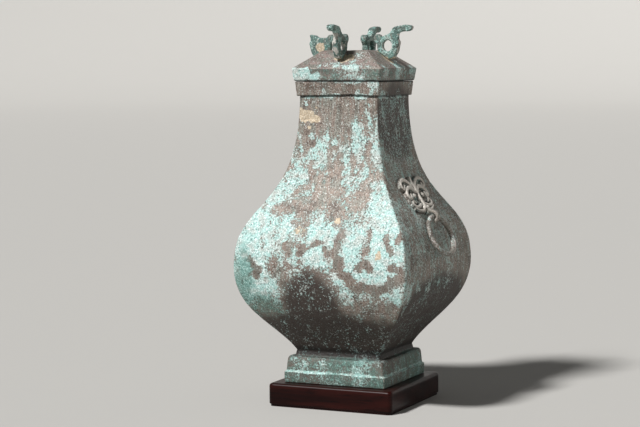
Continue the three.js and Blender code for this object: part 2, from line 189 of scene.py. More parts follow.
@dataclass(frozen=True)
class CastBronze:
    """Leaded tin bronze, cast, long buried and mineralised, with malachite crust where it has altered most.

    To the eye it is a dull pink-brown oxide, pitted and flecked, under a matt and gritty crust that drifts
    from pale turquoise to warm grey, with white grains and teal hollows.
    """

    name: str
    oxide: str = "#887a70"
    oxide_grey: str = "#7f7d74"
    oxide_dark: str = "#54473f"
    pit: str = "#2e2722"
    crust: str = "#a2c4bf"
    crust_warm: str = "#b0b2ac"
    crust_hollow: str = "#628a86"
    grains: str = "#dfebe9"
    teal: str = "#4a746b"
    teal_pale: str = "#86afa6"
    soil: str = "#b3a38c"
    soil_pale: str = "#d9cfbc"
    # Colour of stains, which also paints shade under the belly, on the right face and in the masks' ground
    stain_and_shade: str = "#332a26"
    # Colour of rubbed wear, which on the rings and masks also paints highlights
    worn: str = "#a39a90"
    sheen: float = 0.3
    relief_mm: float = 0.5
    recess_shade: float = 0.92

    # Drifts and mottling as large as on the real jar
    mottle_mm: float = 16.0
    drift_mm: float = 9.0
    edge_mm: float = 5.0
    streak_mm: float = 6.0
    streak_squash: float = 0.2

    # Grit, specks and scratches are 0.2 to 1 mm on the real jar, too fine to show, and are drawn coarser
    grit_mm: float = 2.1
    speck_mm: float = 1.5
    scratch_mm: float = 2.0
    scratch_squash: float = 0.07

    def material(self) -> bpy.types.Material:
        """Build the node material from the surface's patina attribute and its attribute of wear and painted
        light.

        Returns:
            The material, which reads the attributes "patina" and "wear_and_painted_light" and Object
            coordinates.
        """
        made = bpy.data.materials.new(self.name)
        made.use_nodes = True
        tree = made.node_tree
        tree.nodes.clear()
        place = add(tree, "ShaderNodeTexCoord").outputs["Object"]
        drawn_out, combed = (
            add(tree, "ShaderNodeMapping", {"Vector": place, "Scale": (1.0, 1.0, squash)}).outputs["Vector"]
            for squash in (self.streak_squash, self.scratch_squash)
        )
        patina = add(tree, "ShaderNodeAttribute", attribute_name="patina")
        wear_and_painted_light = add(tree, "ShaderNodeAttribute", attribute_name="wear_and_painted_light")
        layers = add(tree, "ShaderNodeSeparateColor", {"Color": patina.outputs["Color"]}).outputs
        marks = add(tree, "ShaderNodeSeparateColor", {"Color": wear_and_painted_light.outputs["Color"]}).outputs
        noises = {
            label: add(tree, "ShaderNodeTexNoise", {
                "Vector": vector, "Scale": per_mm(size), "Detail": detail, "Roughness": rough,
            }).outputs["Fac"]
            for label, vector, size, detail, rough in (
                ("mottle", place, self.mottle_mm, 6.0, 0.62),
                ("drift", place, self.drift_mm, 3.0, 0.55),
                ("edge", place, self.edge_mm, 5.0, 0.66),
                ("grit", place, self.grit_mm, 3.0, 0.7),
                ("specks", place, self.speck_mm, 1.0, 0.5),
                ("streaks", drawn_out, self.streak_mm, 5.0, 0.62),
                ("scratches", combed, self.scratch_mm, 3.0, 0.6),
            )
        }

        # Each layer shows where its field and its ragged noises add up to enough
        sums = {}
        for label, total, parts in (
            ("crust", layers[0], (("edge", 0.5), ("grit", 1.2), ("streaks", 0.4))),
            ("teal", layers[1], (("edge", 0.8), ("grit", 0.4))),
            ("soil", layers[2], (("edge", 0.6), ("grit", 0.5))),
            ("stain_and_shade", patina.outputs["Alpha"], (("grit", 0.8), ("specks", 0.6))),
            ("worn", marks[0], (("edge", 0.8), ("grit", 0.4))),
        ):
            for noise, weight in parts:
                total = add(tree, "ShaderNodeMath", {
                    0: noises[noise], 1: weight, 2: total,
                }, operation="MULTIPLY_ADD").outputs[0]
            sums[label] = total
        shares = {
            label: add(tree, "ShaderNodeMapRange", {
                "Value": value, "From Min": low, "From Max": high, "To Max": most,
            }, interpolation_type="SMOOTHSTEP").outputs["Result"]
            for label, value, low, high, most in (
                ("greyer", noises["streaks"], 0.4, 0.62, 1.0),
                ("darker", noises["mottle"], 0.5, 0.66, 0.65),
                ("pitted", noises["specks"], 0.42, 0.33, 0.75),
                ("flecked", noises["specks"], 0.62, 0.72, 0.6),
                ("scratched", noises["scratches"], 0.56, 0.7, 0.6),
                ("warmer", noises["drift"], 0.42, 0.64, 0.8),
                ("hollow", noises["grit"], 0.47, 0.37, 0.8),
                ("grain", noises["specks"], 0.52, 0.66, 0.8),
                ("covered", sums["crust"], 1.49, 1.61, 1.0),
                ("verdigris", sums["teal"], 0.85, 1.35, 0.75),
                ("soiled", sums["soil"], 1.0, 1.12, 1.0),
                ("stains_and_shade", sums["stain_and_shade"], 0.85, 1.5, 0.9),
                ("rubbed_and_highlit", sums["worn"], 1.0, 1.2, 0.9),
            )
        }

        # What each coat looks like by itself, then one over the other; the stain coat also paints shade
        coats = {"stain_and_shade": linear(self.stain_and_shade), "worn": linear(self.worn)}
        for coat, ground, tints in (
            ("oxide", self.oxide, (
                ("greyer", self.oxide_grey), ("darker", self.oxide_dark), ("scratched", self.crust_warm),
                ("pitted", self.pit), ("flecked", self.grains),
            )),
            ("crust", self.crust, (
                ("warmer", self.crust_warm), ("hollow", self.crust_hollow), ("grain", self.grains),
            )),
            ("teal", self.teal, (("grain", self.teal_pale),)),
            ("soil", self.soil, (("grain", self.soil_pale),)),
        ):
            tone = linear(ground)
            for share, tint in tints:
                tone = add(tree, "ShaderNodeMix", {
                    0: shares[share], MIX_A: tone, MIX_B: linear(tint),
                }, data_type="RGBA").outputs[MIX_COLOUR]
            coats[coat] = tone
        colour = coats["oxide"]
        thickness = add(tree, "ShaderNodeMapRange", {
            "Value": layers[0], "From Min": 0.2, "From Max": 0.7, "To Min": 0.45,
        }).outputs["Result"]
        shares["crusted"] = add(tree, "ShaderNodeMath", {
            0: shares["covered"], 1: thickness,
        }, operation="MULTIPLY").outputs[0]
        for share, coat in (
            ("stains_and_shade", "stain_and_shade"), ("crusted", "crust"), ("verdigris", "teal"), ("soiled", "soil"),
            ("rubbed_and_highlit", "worn"),
        ):
            colour = add(tree, "ShaderNodeMix", {
                0: shares[share], MIX_A: colour, MIX_B: coats[coat],
            }, data_type="RGBA").outputs[MIX_COLOUR]
        # Painted shade: the second field of wear and painted light darkens recesses, then grit noise varies
        # the tone at random
        shade = add(tree, "ShaderNodeMath", {
            0: marks[1], 1: -self.recess_shade, 2: 1.0,
        }, operation="MULTIPLY_ADD").outputs[0]
        speckle = add(tree, "ShaderNodeMapRange", {
            "Value": noises["grit"], "From Min": 0.35, "From Max": 0.65, "To Min": 0.8, "To Max": 1.2,
        }).outputs["Result"]
        shade = add(tree, "ShaderNodeMath", {0: shade, 1: speckle}, operation="MULTIPLY").outputs[0]
        colour = add(tree, "ShaderNodeMix", {
            0: 1.0, MIX_A: colour, MIX_B: shade,
        }, data_type="RGBA", blend_type="MULTIPLY").outputs[MIX_COLOUR]

        # The bare oxide keeps a little of the metal's gloss, and crust stands proud of it
        bare = add(tree, "ShaderNodeMath", {0: 1.0, 1: shares["covered"]}, operation="SUBTRACT").outputs[0]
        metal = add(tree, "ShaderNodeMath", {0: bare, 1: self.sheen}, operation="MULTIPLY").outputs[0]
        rough = add(tree, "ShaderNodeMapRange", {
            "Value": metal, "From Max": self.sheen, "To Min": 0.9, "To Max": 0.6,
        }).outputs["Result"]
        height = noises["edge"]
        for part, weight in ((shares["covered"], 0.5), (noises["grit"], 1.2), (noises["specks"], 0.6)):
            height = add(tree, "ShaderNodeMath", {
                0: part, 1: weight, 2: height,
            }, operation="MULTIPLY_ADD").outputs[0]
        bump = add(tree, "ShaderNodeBump", {
            "Strength": 0.8, "Distance": self.relief_mm * MM, "Height": height,
        })
        shader = add(tree, "ShaderNodeBsdfPrincipled", {
            "Base Color": colour, "Metallic": metal, "Roughness": rough, "Normal": bump.outputs["Normal"],
        })
        add(tree, "ShaderNodeOutputMaterial", {"Surface": shader.outputs["BSDF"]})
        return made


@dataclass(frozen=True)
class LacqueredHardwood:
    """Fine-grained hardwood under dark red-brown lacquer, rubbed to a soft gloss.

    To the eye it is nearly black in the shade, with long red-brown grain where the light falls and a clear
    gloss over it.
    """

    name: str = "lacquered rosewood"
    heart: str = "#160504"
    grain: str = "#090202"
    glow: str = "#280c09"
    figure_mm: float = 16.0
    relief_mm: float = 0.12

    # Pores are about 0.2 mm wide on the real wood, too fine to show, and are drawn coarser
    grain_mm: float = 1.8

    def material(self) -> bpy.types.Material:
        """Build the node material, with the grain drawn out along X.

        Returns:
            The material, which reads Object coordinates.
        """
        made = bpy.data.materials.new(self.name)
        made.use_nodes = True
        tree = made.node_tree
        tree.nodes.clear()
        place = add(tree, "ShaderNodeTexCoord").outputs["Object"]
        along = add(tree, "ShaderNodeMapping", {
            "Vector": place, "Scale": (0.06, 0.35, 1.0),
        }).outputs["Vector"]
        figure = add(tree, "ShaderNodeTexNoise", {
            "Vector": along, "Scale": per_mm(self.figure_mm), "Detail": 5.0, "Roughness": 0.55,
            "Distortion": 0.6,
        }).outputs["Fac"]
        pores = add(tree, "ShaderNodeTexNoise", {
            "Vector": along, "Scale": per_mm(self.grain_mm), "Detail": 5.0, "Roughness": 0.7,
        }).outputs["Fac"]
        glow = add(tree, "ShaderNodeMapRange", {
            "Value": figure, "From Min": 0.4, "From Max": 0.65,
        }, interpolation_type="SMOOTHSTEP").outputs["Result"]
        colour = add(tree, "ShaderNodeMix", {
            0: glow, MIX_A: linear(self.heart), MIX_B: linear(self.glow),
        }, data_type="RGBA").outputs[MIX_COLOUR]
        lines = add(tree, "ShaderNodeMapRange", {
            "Value": pores, "From Min": 0.48, "From Max": 0.68, "To Max": 0.8,
        }, interpolation_type="SMOOTHSTEP").outputs["Result"]
        colour = add(tree, "ShaderNodeMix", {
            0: lines, MIX_A: colour, MIX_B: linear(self.grain),
        }, data_type="RGBA").outputs[MIX_COLOUR]
        rough = add(tree, "ShaderNodeMapRange", {
            "Value": pores, "To Min": 0.26, "To Max": 0.44,
        }).outputs["Result"]
        bump = add(tree, "ShaderNodeBump", {
            "Strength": 0.3, "Distance": self.relief_mm * MM, "Height": pores,
        }, invert=True)
        shader = add(tree, "ShaderNodeBsdfPrincipled", {
            "Base Color": colour, "Roughness": rough, "Normal": bump.outputs["Normal"],
            "Specular IOR Level": 0.13,
        })
        add(tree, "ShaderNodeOutputMaterial", {"Surface": shader.outputs["BSDF"]})
        return made


@dataclass(frozen=True)
class Patch:
    """One patch of patina on a face, as a leaning ellipse in millimetres.

    across is measured from the middle of the face to the right, level from the stand's underside.
    """

    side: Side
    across: float
    level: float
    half_width: float
    half_height: float
    lean: float = 0.0
    strength: float = 1.0


@dataclass(frozen=True)
class FacePlace:
    """Where points lie on the jar's four faces, in millimetres."""

    side: np.ndarray
    across: np.ndarray
    level: np.ndarray

    @staticmethod
    def of(points: np.ndarray) -> "FacePlace":
        """Find the face, the place across it and the level of each point.

        Args:
            points: Places in metres, shaped (n, 3).

        Returns:
            The places on the faces.
        """
        x, y, z = points.T
        wide = np.abs(x) > np.abs(y)
        side = np.where(wide, np.where(x > 0, 1, 3), np.where(y < 0, 0, 2))
        across = np.choose(side, [x, y, -x, -y])
        return FacePlace(side, across / MM, z / MM)


def coverage(points: np.ndarray, patches: list[Patch], seed: int, soft: float = 1.3) -> np.ndarray:
    """Lay down patches whose outlines wander and whose edges are ragged, less so the softer they are.

    Args:
        points: Places in metres, shaped (n, 3).
        patches: The patches to lay down.
        seed: Fixed number that picks how the edges run.
        soft: How far the edges fade, in millimetres each way.

    Returns:
        Coverage of each place, 0 where no patch reaches.
    """
    place = FacePlace.of(points)
    loose = min(1.0, FIRM_EDGE / soft)
    fray = (cloud(points, FRAY_SPACING * MM, seed, 3) - 0.5) * FRAY_REACH * loose
    bend = [(cloud(points, BEND_SPACING * MM, seed + step, 4) - 0.5) * BEND_REACH * loose for step in (5, 6)]
    total = np.zeros(len(points))
    for patch in patches:
        lean = math.radians(patch.lean)
        size = min(patch.half_width, patch.half_height)
        across = place.across - patch.across + bend[0] * min(1.0, size / BEND_FULL_SIZE)
        up = place.level - patch.level + bend[1] * min(1.0, size / BEND_FULL_SIZE)
        along = up * math.cos(lean) + across * math.sin(lean)
        aside = across * math.cos(lean) - up * math.sin(lean)
        outside = (np.hypot(aside / patch.half_width, along / patch.half_height) - 1) * size
        cover = ramp(outside + fray * min(1.0, size / FRAY_FULL_SIZE), soft, -soft) * patch.strength
        total = np.where(place.side == patch.side.value, np.maximum(total, cover), total)
    return total


def fillet(corners: list[tuple[float, float, float]], steps: int = 4) -> np.ndarray:
    """Round the corners of a section.

    Args:
        corners: Half width, level and rounding of each corner.
        steps: Points along each rounding.

    Returns:
        The section's points, shaped (n, 2).
    """
    points = [np.array(corners[0][:2])]
    for before, corner, after in zip(corners, corners[1:], corners[2:]):
        middle = np.array(corner[:2])
        back = np.array(before[:2]) - middle
        ahead = np.array(after[:2]) - middle
        start = middle + back * min(corner[2] / np.linalg.norm(back), ROUNDING_SHARE)
        end = middle + ahead * min(corner[2] / np.linalg.norm(ahead), ROUNDING_SHARE)
        if corner[2] <= 0:
            points.append(middle)
            continue
        for t in np.linspace(0, 1, steps + 1):
            points.append((1 - t) ** 2 * start + 2 * t * (1 - t) * middle + t ** 2 * end)
    points.append(np.array(corners[-1][:2]))
    return np.array(points)


def refine(points: np.ndarray, spacing: float) -> np.ndarray:
    """Add points along a section until none lie further apart than spacing.

    Args:
        points: The section's corners, shaped (n, 2).
        spacing: Largest distance between two points, in metres.

    Returns:
        The corners and the points between them, shaped (m, 2).
    """
    fine = [points[:1]]
    for start, end in zip(points, points[1:]):
        count = max(1, math.ceil(np.linalg.norm(end - start) / spacing))
        fine.append(start + (end - start) * np.linspace(0, 1, count + 1)[1:, None])
    return np.vstack(fine)


def bezier(corners: list[tuple[float, float]], steps: int) -> np.ndarray:
    """Sample the cubic curve of four control points.

    Args:
        corners: The control points.
        steps: How many stretches the curve is cut into.

    Returns:
        Points along the curve, shaped (steps + 1, 2).
    """
    p = np.array(corners, float)
    t = np.linspace(0, 1, steps + 1)[:, None]
    return (1 - t) ** 3 * p[0] + 3 * (1 - t) ** 2 * t * p[1] + 3 * (1 - t) * t ** 2 * p[2] + t ** 3 * p[3]


@dataclass
class SquareLathe:
    """A closed surface whose rings are squares with rounded corners.

    The section runs from the axis underneath, out, up and back to the axis above.
    """

    section: np.ndarray
    arris: np.ndarray
    per_face: int
    per_corner: int = 6

    def rings(self) -> np.ndarray:
        """Place the rings' points, from the front's left corner on round each ring.

        Returns:
            The points, shaped (rings, points round a ring, 3).
        """
        half = self.section[:, :1]
        level = self.section[:, 1:]
        radius = np.minimum(self.arris[:, None], half * 0.999)
        flat = half - radius
        straight = np.linspace(-1, 1, self.per_face, endpoint=False)[None, :]
        turn = np.linspace(0, math.pi / 2, self.per_corner, endpoint=False)[None, :]
        along = np.hstack([flat * straight, flat + radius * np.sin(turn)])
        out = np.hstack([half * np.ones_like(straight), flat + radius * np.cos(turn)])
        quarter = np.stack([along, -out], axis=-1)
        quarters = [quarter]
        for _ in range(3):
            quarter = np.stack([-quarter[..., 1], quarter[..., 0]], axis=-1)
            quarters.append(quarter)
        flat_ring = np.concatenate(quarters, axis=1)
        return np.dstack([flat_ring, np.repeat(level, flat_ring.shape[1], axis=1)])

    @staticmethod
    def normals(rings: np.ndarray) -> np.ndarray:
        """Find each ring point's outward direction.

        Args:
            rings: Points shaped (rings, points round a ring, 3).

        Returns:
            Unit vectors in the same shape.
        """
        across = np.roll(rings, -1, axis=1) - np.roll(rings, 1, axis=1)
        along = np.gradient(rings, axis=0)
        normal = np.cross(across, along)
        return normal / np.maximum(np.linalg.norm(normal, axis=-1, keepdims=True), 1e-12)

    @staticmethod
    def faces(ring_count: int, around: int) -> list[list[int]]:
        """List the quads between the rings and the triangles round the two poles.

        Args:
            ring_count: How many rings there are.
            around: How many points each ring has.

        Returns:
            The faces, which count on the lower and the upper pole as the last two points.
        """
        grid = np.arange(ring_count * around).reshape(ring_count, around)
        aside = np.roll(grid, -1, axis=1)
        quads = np.stack([grid[:-1], aside[:-1], aside[1:], grid[1:]], axis=-1).reshape(-1, 4)
        below = ring_count * around
        poles = [[below, aside[0, j], grid[0, j]] for j in range(around)]
        poles += [[below + 1, grid[-1, j], aside[-1, j]] for j in range(around)]
        return quads.tolist() + poles

    def skin(self) -> tuple[np.ndarray, np.ndarray, list[list[int]]]:
        """Make the surface without its poles.

        Returns:
            Points and outward directions, both shaped (n, 3), and the faces, which count on the poles as the
            two points that follow.
        """
        rings = self.rings()
        return rings.reshape(-1, 3), self.normals(rings).reshape(-1, 3), self.faces(*rings.shape[:2])

    def poles(self) -> np.ndarray:
        """Place the two poles, on the axis at the section's ends."""
        return np.array([[0, 0, self.section[0, 1]], [0, 0, self.section[-1, 1]]])


@dataclass
class Surface:
    """A closed mesh under way: its points, faces and the fields that its finish reads."""

    points: np.ndarray
    faces: list
    patina: np.ndarray
    wear_and_painted_light: np.ndarray

    def to_object(self, name: str, material: bpy.types.Material) -> bpy.types.Object:
        """Make the Blender object, smooth shaded, with its colour attributes.

        Args:
            name: The piece's name.
            material: The piece's finish.

        Returns:
            The piece, at the origin.
        """
        mesh = bpy.data.meshes.new(name)
        mesh.from_pydata(self.points.tolist(), [], self.faces)
        for label, values in (("patina", self.patina), ("wear_and_painted_light", self.wear_and_painted_light)):
            layer = mesh.attributes.new(label, "FLOAT_COLOR", "POINT")
            layer.data.foreach_set("color", values.astype(np.float32).ravel())
        mesh.shade_smooth()
        mesh.materials.append(material)
        mesh.validate()
        made = bpy.data.objects.new(name, mesh)
        bpy.context.scene.collection.objects.link(made)
        log.info("%s: %d points, %d faces", name, len(self.points), len(self.faces))
        return made


def fields(*columns: np.ndarray) -> np.ndarray:
    """Stack up to four fields into colours, with zeros for what is missing."""
    blank = np.zeros(len(columns[0]))
    return np.clip(np.stack([*columns, *[blank] * (4 - len(columns))], axis=1), 0, 1)


@dataclass
class Stand:
    """Square hardwood stand: a soft-edged slab on a thin inset strip."""

    corner_radius: float = 5 * MM
    edge_radius: float = 2.5 * MM
    strip_height: float = 2.8 * MM
    strip_inset: float = 1.3 * MM
    spacing: float = 3 * MM
    edge_steps: int = 6
    per_face: int = 60
    per_corner: int = 8
    dent_spacing: float = 30 * MM
    dent_mm: float = 0.4

    def build(self, finish: bpy.types.Material) -> bpy.types.Object:
        """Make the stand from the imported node's box and hang it on the jar's body.

        Args:
            finish: The stand's wood.

        Returns:
            The finished piece.
        """
        low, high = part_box("wooden_stand")
        half = high[0]
        strip = half - self.strip_inset

        # Half width, level and rounding of each corner
        corners = [
            (POLE_RING, low[2], 0),
            (strip, low[2], 0.4 * MM),
            (strip, self.strip_height, 0.3 * MM),
            (half, self.strip_height, 0.8 * MM),
            (half, high[2], 1.6 * self.edge_radius),
            (POLE_RING, high[2], 0),
        ]
        section = refine(fillet(corners, self.edge_steps), self.spacing)
        arris = np.full(len(section), self.corner_radius)
        lathe = SquareLathe(section, arris, self.per_face, self.per_corner)
        points, normal, faces = lathe.skin()
        dent = (cloud(points, self.dent_spacing, 3, 3) - 0.5) * self.dent_mm * MM
        above = ramp(points[:, 2], 0.2 * MM, 2 * MM)
        points = points + normal * (np.minimum(dent, 0) * above)[:, None]
        points = np.vstack([points, lathe.poles()])
        blank = fields(np.zeros(len(points)))
        made = Surface(points, faces, blank, blank).to_object("stand_wood", finish)
        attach(made, "jar")
        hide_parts("wooden_stand")
        return made


@dataclass
class JarBody:
    """The square jar: hollow stepped foot, pear-shaped body, neck and collar, in one casting."""

    wall: float = 3.5 * MM
    arris: float = 3 * MM
    foot_height: float = 31.5 * MM
    foot_width: float = 130 * MM
    band_height: float = 13 * MM
    ledge: float = 1.8 * MM
    foot_lean: float = 1.6 * MM
    foot_wall: float = 4.5 * MM
    waist_width: float = 107.4 * MM
    waist_height: float = 38.1 * MM
    belly_height: float = 141.8 * MM
    neck_width: float = 100.8 * MM
    collar_height: float = 16.3 * MM
    collar_proud: float = 2.8 * MM
    collar_flare: float = 1.7 * MM
    floor: float = 4 * MM
    foot_arris: float = 2.4 * MM
    edge_sag: float = 3.2 * MM

    # Pull of the body's curves, as shares of the height or width that each curve spans
    waist_pull_out: float = 0.34
    waist_pull_up: float = 0.33
    belly_pull: float = 0.52
    shoulder_pull: float = 0.4
    neck_pull: float = 0.69

    # Fineness of the mesh, which is coarser where it is hidden
    lower_steps: int = 60
    upper_steps: int = 130
    inside_stride: int = 7
    per_face: int = 70
    per_corner: int = 6
    ring_spacing: float = 2.46 * MM
    hidden_spacing: float = 14 * MM
    least_spacing: float = 0.05 * MM

    def __post_init__(self) -> None:
        """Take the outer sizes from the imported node."""
        low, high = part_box("jar_body")
        self.base = low[2]
        self.rim = high[2]
        self.belly = (high[0], self.base + self.belly_height)
        self.waist = (self.waist_width / 2, self.base + self.waist_height)
        self.neck = (self.neck_width / 2, self.rim - self.collar_height)

    def outline(self) -> np.ndarray:
        """Draw the outside of the body from the waist to the neck.

        Returns:
            Half widths and levels in metres, shaped (n, 2).
        """
        (waist, waist_z), (belly, belly_z), (neck, neck_z) = self.waist, self.belly, self.neck
        lower = bezier([
            self.waist,
            (
                waist + self.waist_pull_out * (belly - waist),
                waist_z + self.waist_pull_up * (belly_z - waist_z),
            ),
            (belly, belly_z - self.belly_pull * (belly_z - waist_z)),
            self.belly,
        ], self.lower_steps)
        upper = bezier([
            self.belly,
            (belly, belly_z + self.shoulder_pull * (neck_z - belly_z)),
            (neck, neck_z - self.neck_pull * (neck_z - belly_z)),
            self.neck,
        ], self.upper_steps)
        return np.vstack([lower, upper[1:]])

    def section(self) -> np.ndarray:
        """Draw the whole section, from under the floor round the outside and down inside.

        Returns:
            Half widths and levels in metres, shaped (n, 2).
        """
        foot = self.foot_width / 2
        shoulder = foot - self.ledge - self.foot_lean
        foot_top = self.base + self.foot_height
        band_top = self.base + self.band_height
        collar = self.neck[0] + self.collar_proud
        rim = collar + self.collar_flare
        under = self.waist[1] - self.floor / 2
        above = self.waist[1] + self.floor / 2
        outside = self.outline()
        underside = np.array([
            (POLE_RING, under),
            (self.waist[0] - self.wall, under),
            (shoulder - self.foot_wall, foot_top - 3.5 * MM),
            (foot - self.foot_wall, self.base + 0.5 * MM),
        ])

        # Half width, level and rounding of each corner
        foot_part = fillet([
            (foot - self.foot_wall + 0.4 * MM, self.base, 0),
            (foot, self.base, 0.8 * MM),
            (foot, band_top, 1.1 * MM),
            (foot - self.ledge, band_top, 0.7 * MM),
            (shoulder, foot_top, 5 * MM),
            (self.waist[0] + 1.5 * MM, foot_top, 1.5 * MM),
            tuple(outside[0]) + (0,),
        ])
        collar_part = fillet([
            tuple(outside[-1]) + (0,),
            (collar, self.neck[1], 0.8 * MM),
            (rim, self.rim, 1.8 * MM),
            (self.neck[0] - self.wall, self.rim, 0.5 * MM),
            (self.neck[0] - self.wall, self.neck[1], 0),
        ])
        inside = outside[::-self.inside_stride] - [self.wall, 0]
        inside = inside[(inside[:, 1] > above + 4 * MM) & (inside[:, 1] < self.neck[1] - 2 * MM)]
        seat = np.array([[self.waist[0] - self.wall, above], [POLE_RING, above]])
        outer = refine(np.vstack([foot_part, outside[1:-1], collar_part]), self.ring_spacing)
        keep = np.ones(len(outer), bool)
        gaps = np.linalg.norm(np.diff(outer, axis=0), axis=1)
        keep[1:] = gaps > self.least_spacing
        hidden = refine(underside, self.hidden_spacing)
        return np.vstack([hidden, outer[keep], refine(inside, self.hidden_spacing), seat])

    def sag(self, points: np.ndarray) -> np.ndarray:
        """Find how far the collar's lower edge and the foot's ledge run up or down from true.

        Args:
            points: Places on the jar in metres, shaped (n, 3).

        Returns:
            The rise of each place in metres, 0 away from both edges.
        """
        wave = (cloud(points * [1, 1, 0], 24 * MM, 15, 3) - 0.5) * self.edge_sag
        near_collar = ramp(np.abs(points[:, 2] - self.neck[1]), 6 * MM, 1.5 * MM)
        near_ledge = ramp(np.abs(points[:, 2] - self.base - self.band_height), 5 * MM, 1.5 * MM)
        return wave * np.maximum(near_collar, 0.7 * near_ledge)

    def relief(self, points: np.ndarray, crust: np.ndarray) -> np.ndarray:
        """Find the height of casting unevenness, crust and pits along the outward direction.

        Args:
            points: Places on the jar in metres, shaped (n, 3).
            crust: How much crust lies at each place.

        Returns:
            The height at each place in metres.
        """
        uneven = (cloud(points, 70 * MM, 5, 3) - 0.5) * 0.9
        lumps = (cloud(points, 9 * MM, 8, 3) - 0.5) * 0.35
        crusty = crust * (0.12 + 0.9 * np.clip(cloud(points, 5 * MM, 11, 2) - 0.42, 0, 1))
        pits = -0.45 * ramp(cloud(points, 6 * MM, 21, 2), 0.72, 0.82)
        return (uneven + lumps + crusty + pits) * MM

    def build(self, finish: bpy.types.Material) -> bpy.types.Object:
        """Make the jar's casting with its patina and hang it on body "jar".

        Args:
            finish: The jar's bronze.

        Returns:
            The finished piece.
        """
        section = self.section()
        arris = np.where(section[:, 1] < self.base + self.foot_height, self.foot_arris, self.arris)
        lathe = SquareLathe(section, arris, self.per_face, self.per_corner)
        points, normal, faces = lathe.skin()
        patina, wear_and_painted_light = JarPatina(self).fields(points)

        # Relief and sag only where the metal shows, and calm where the casting rests or the lid sits
        outward = np.einsum("ij,ij->i", normal[:, :2], points[:, :2]) > -0.2 * np.abs(points[:, 0])
        calm = np.where(outward, 1.0, 0.0) * ramp(points[:, 2], self.base + 0.1 * MM, self.base + 2 * MM)
        calm *= ramp(points[:, 2], self.rim - 0.1 * MM, self.rim - 1.5 * MM) * 0.9 + 0.1
        sag = np.where(outward, self.sag(points), 0.0)
        points = points + normal * (self.relief(points, patina[:, 0]) * calm)[:, None]
        points[:, 2] += sag
        points = np.vstack([points, lathe.poles()])
        patina = np.vstack([patina, np.zeros((2, 4))])
        wear_and_painted_light = np.vstack([wear_and_painted_light, np.zeros((2, 4))])
        made = Surface(points, faces, patina, wear_and_painted_light).to_object("jar_casting", finish)
        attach(made, "jar")
        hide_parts("jar_body")
        return made


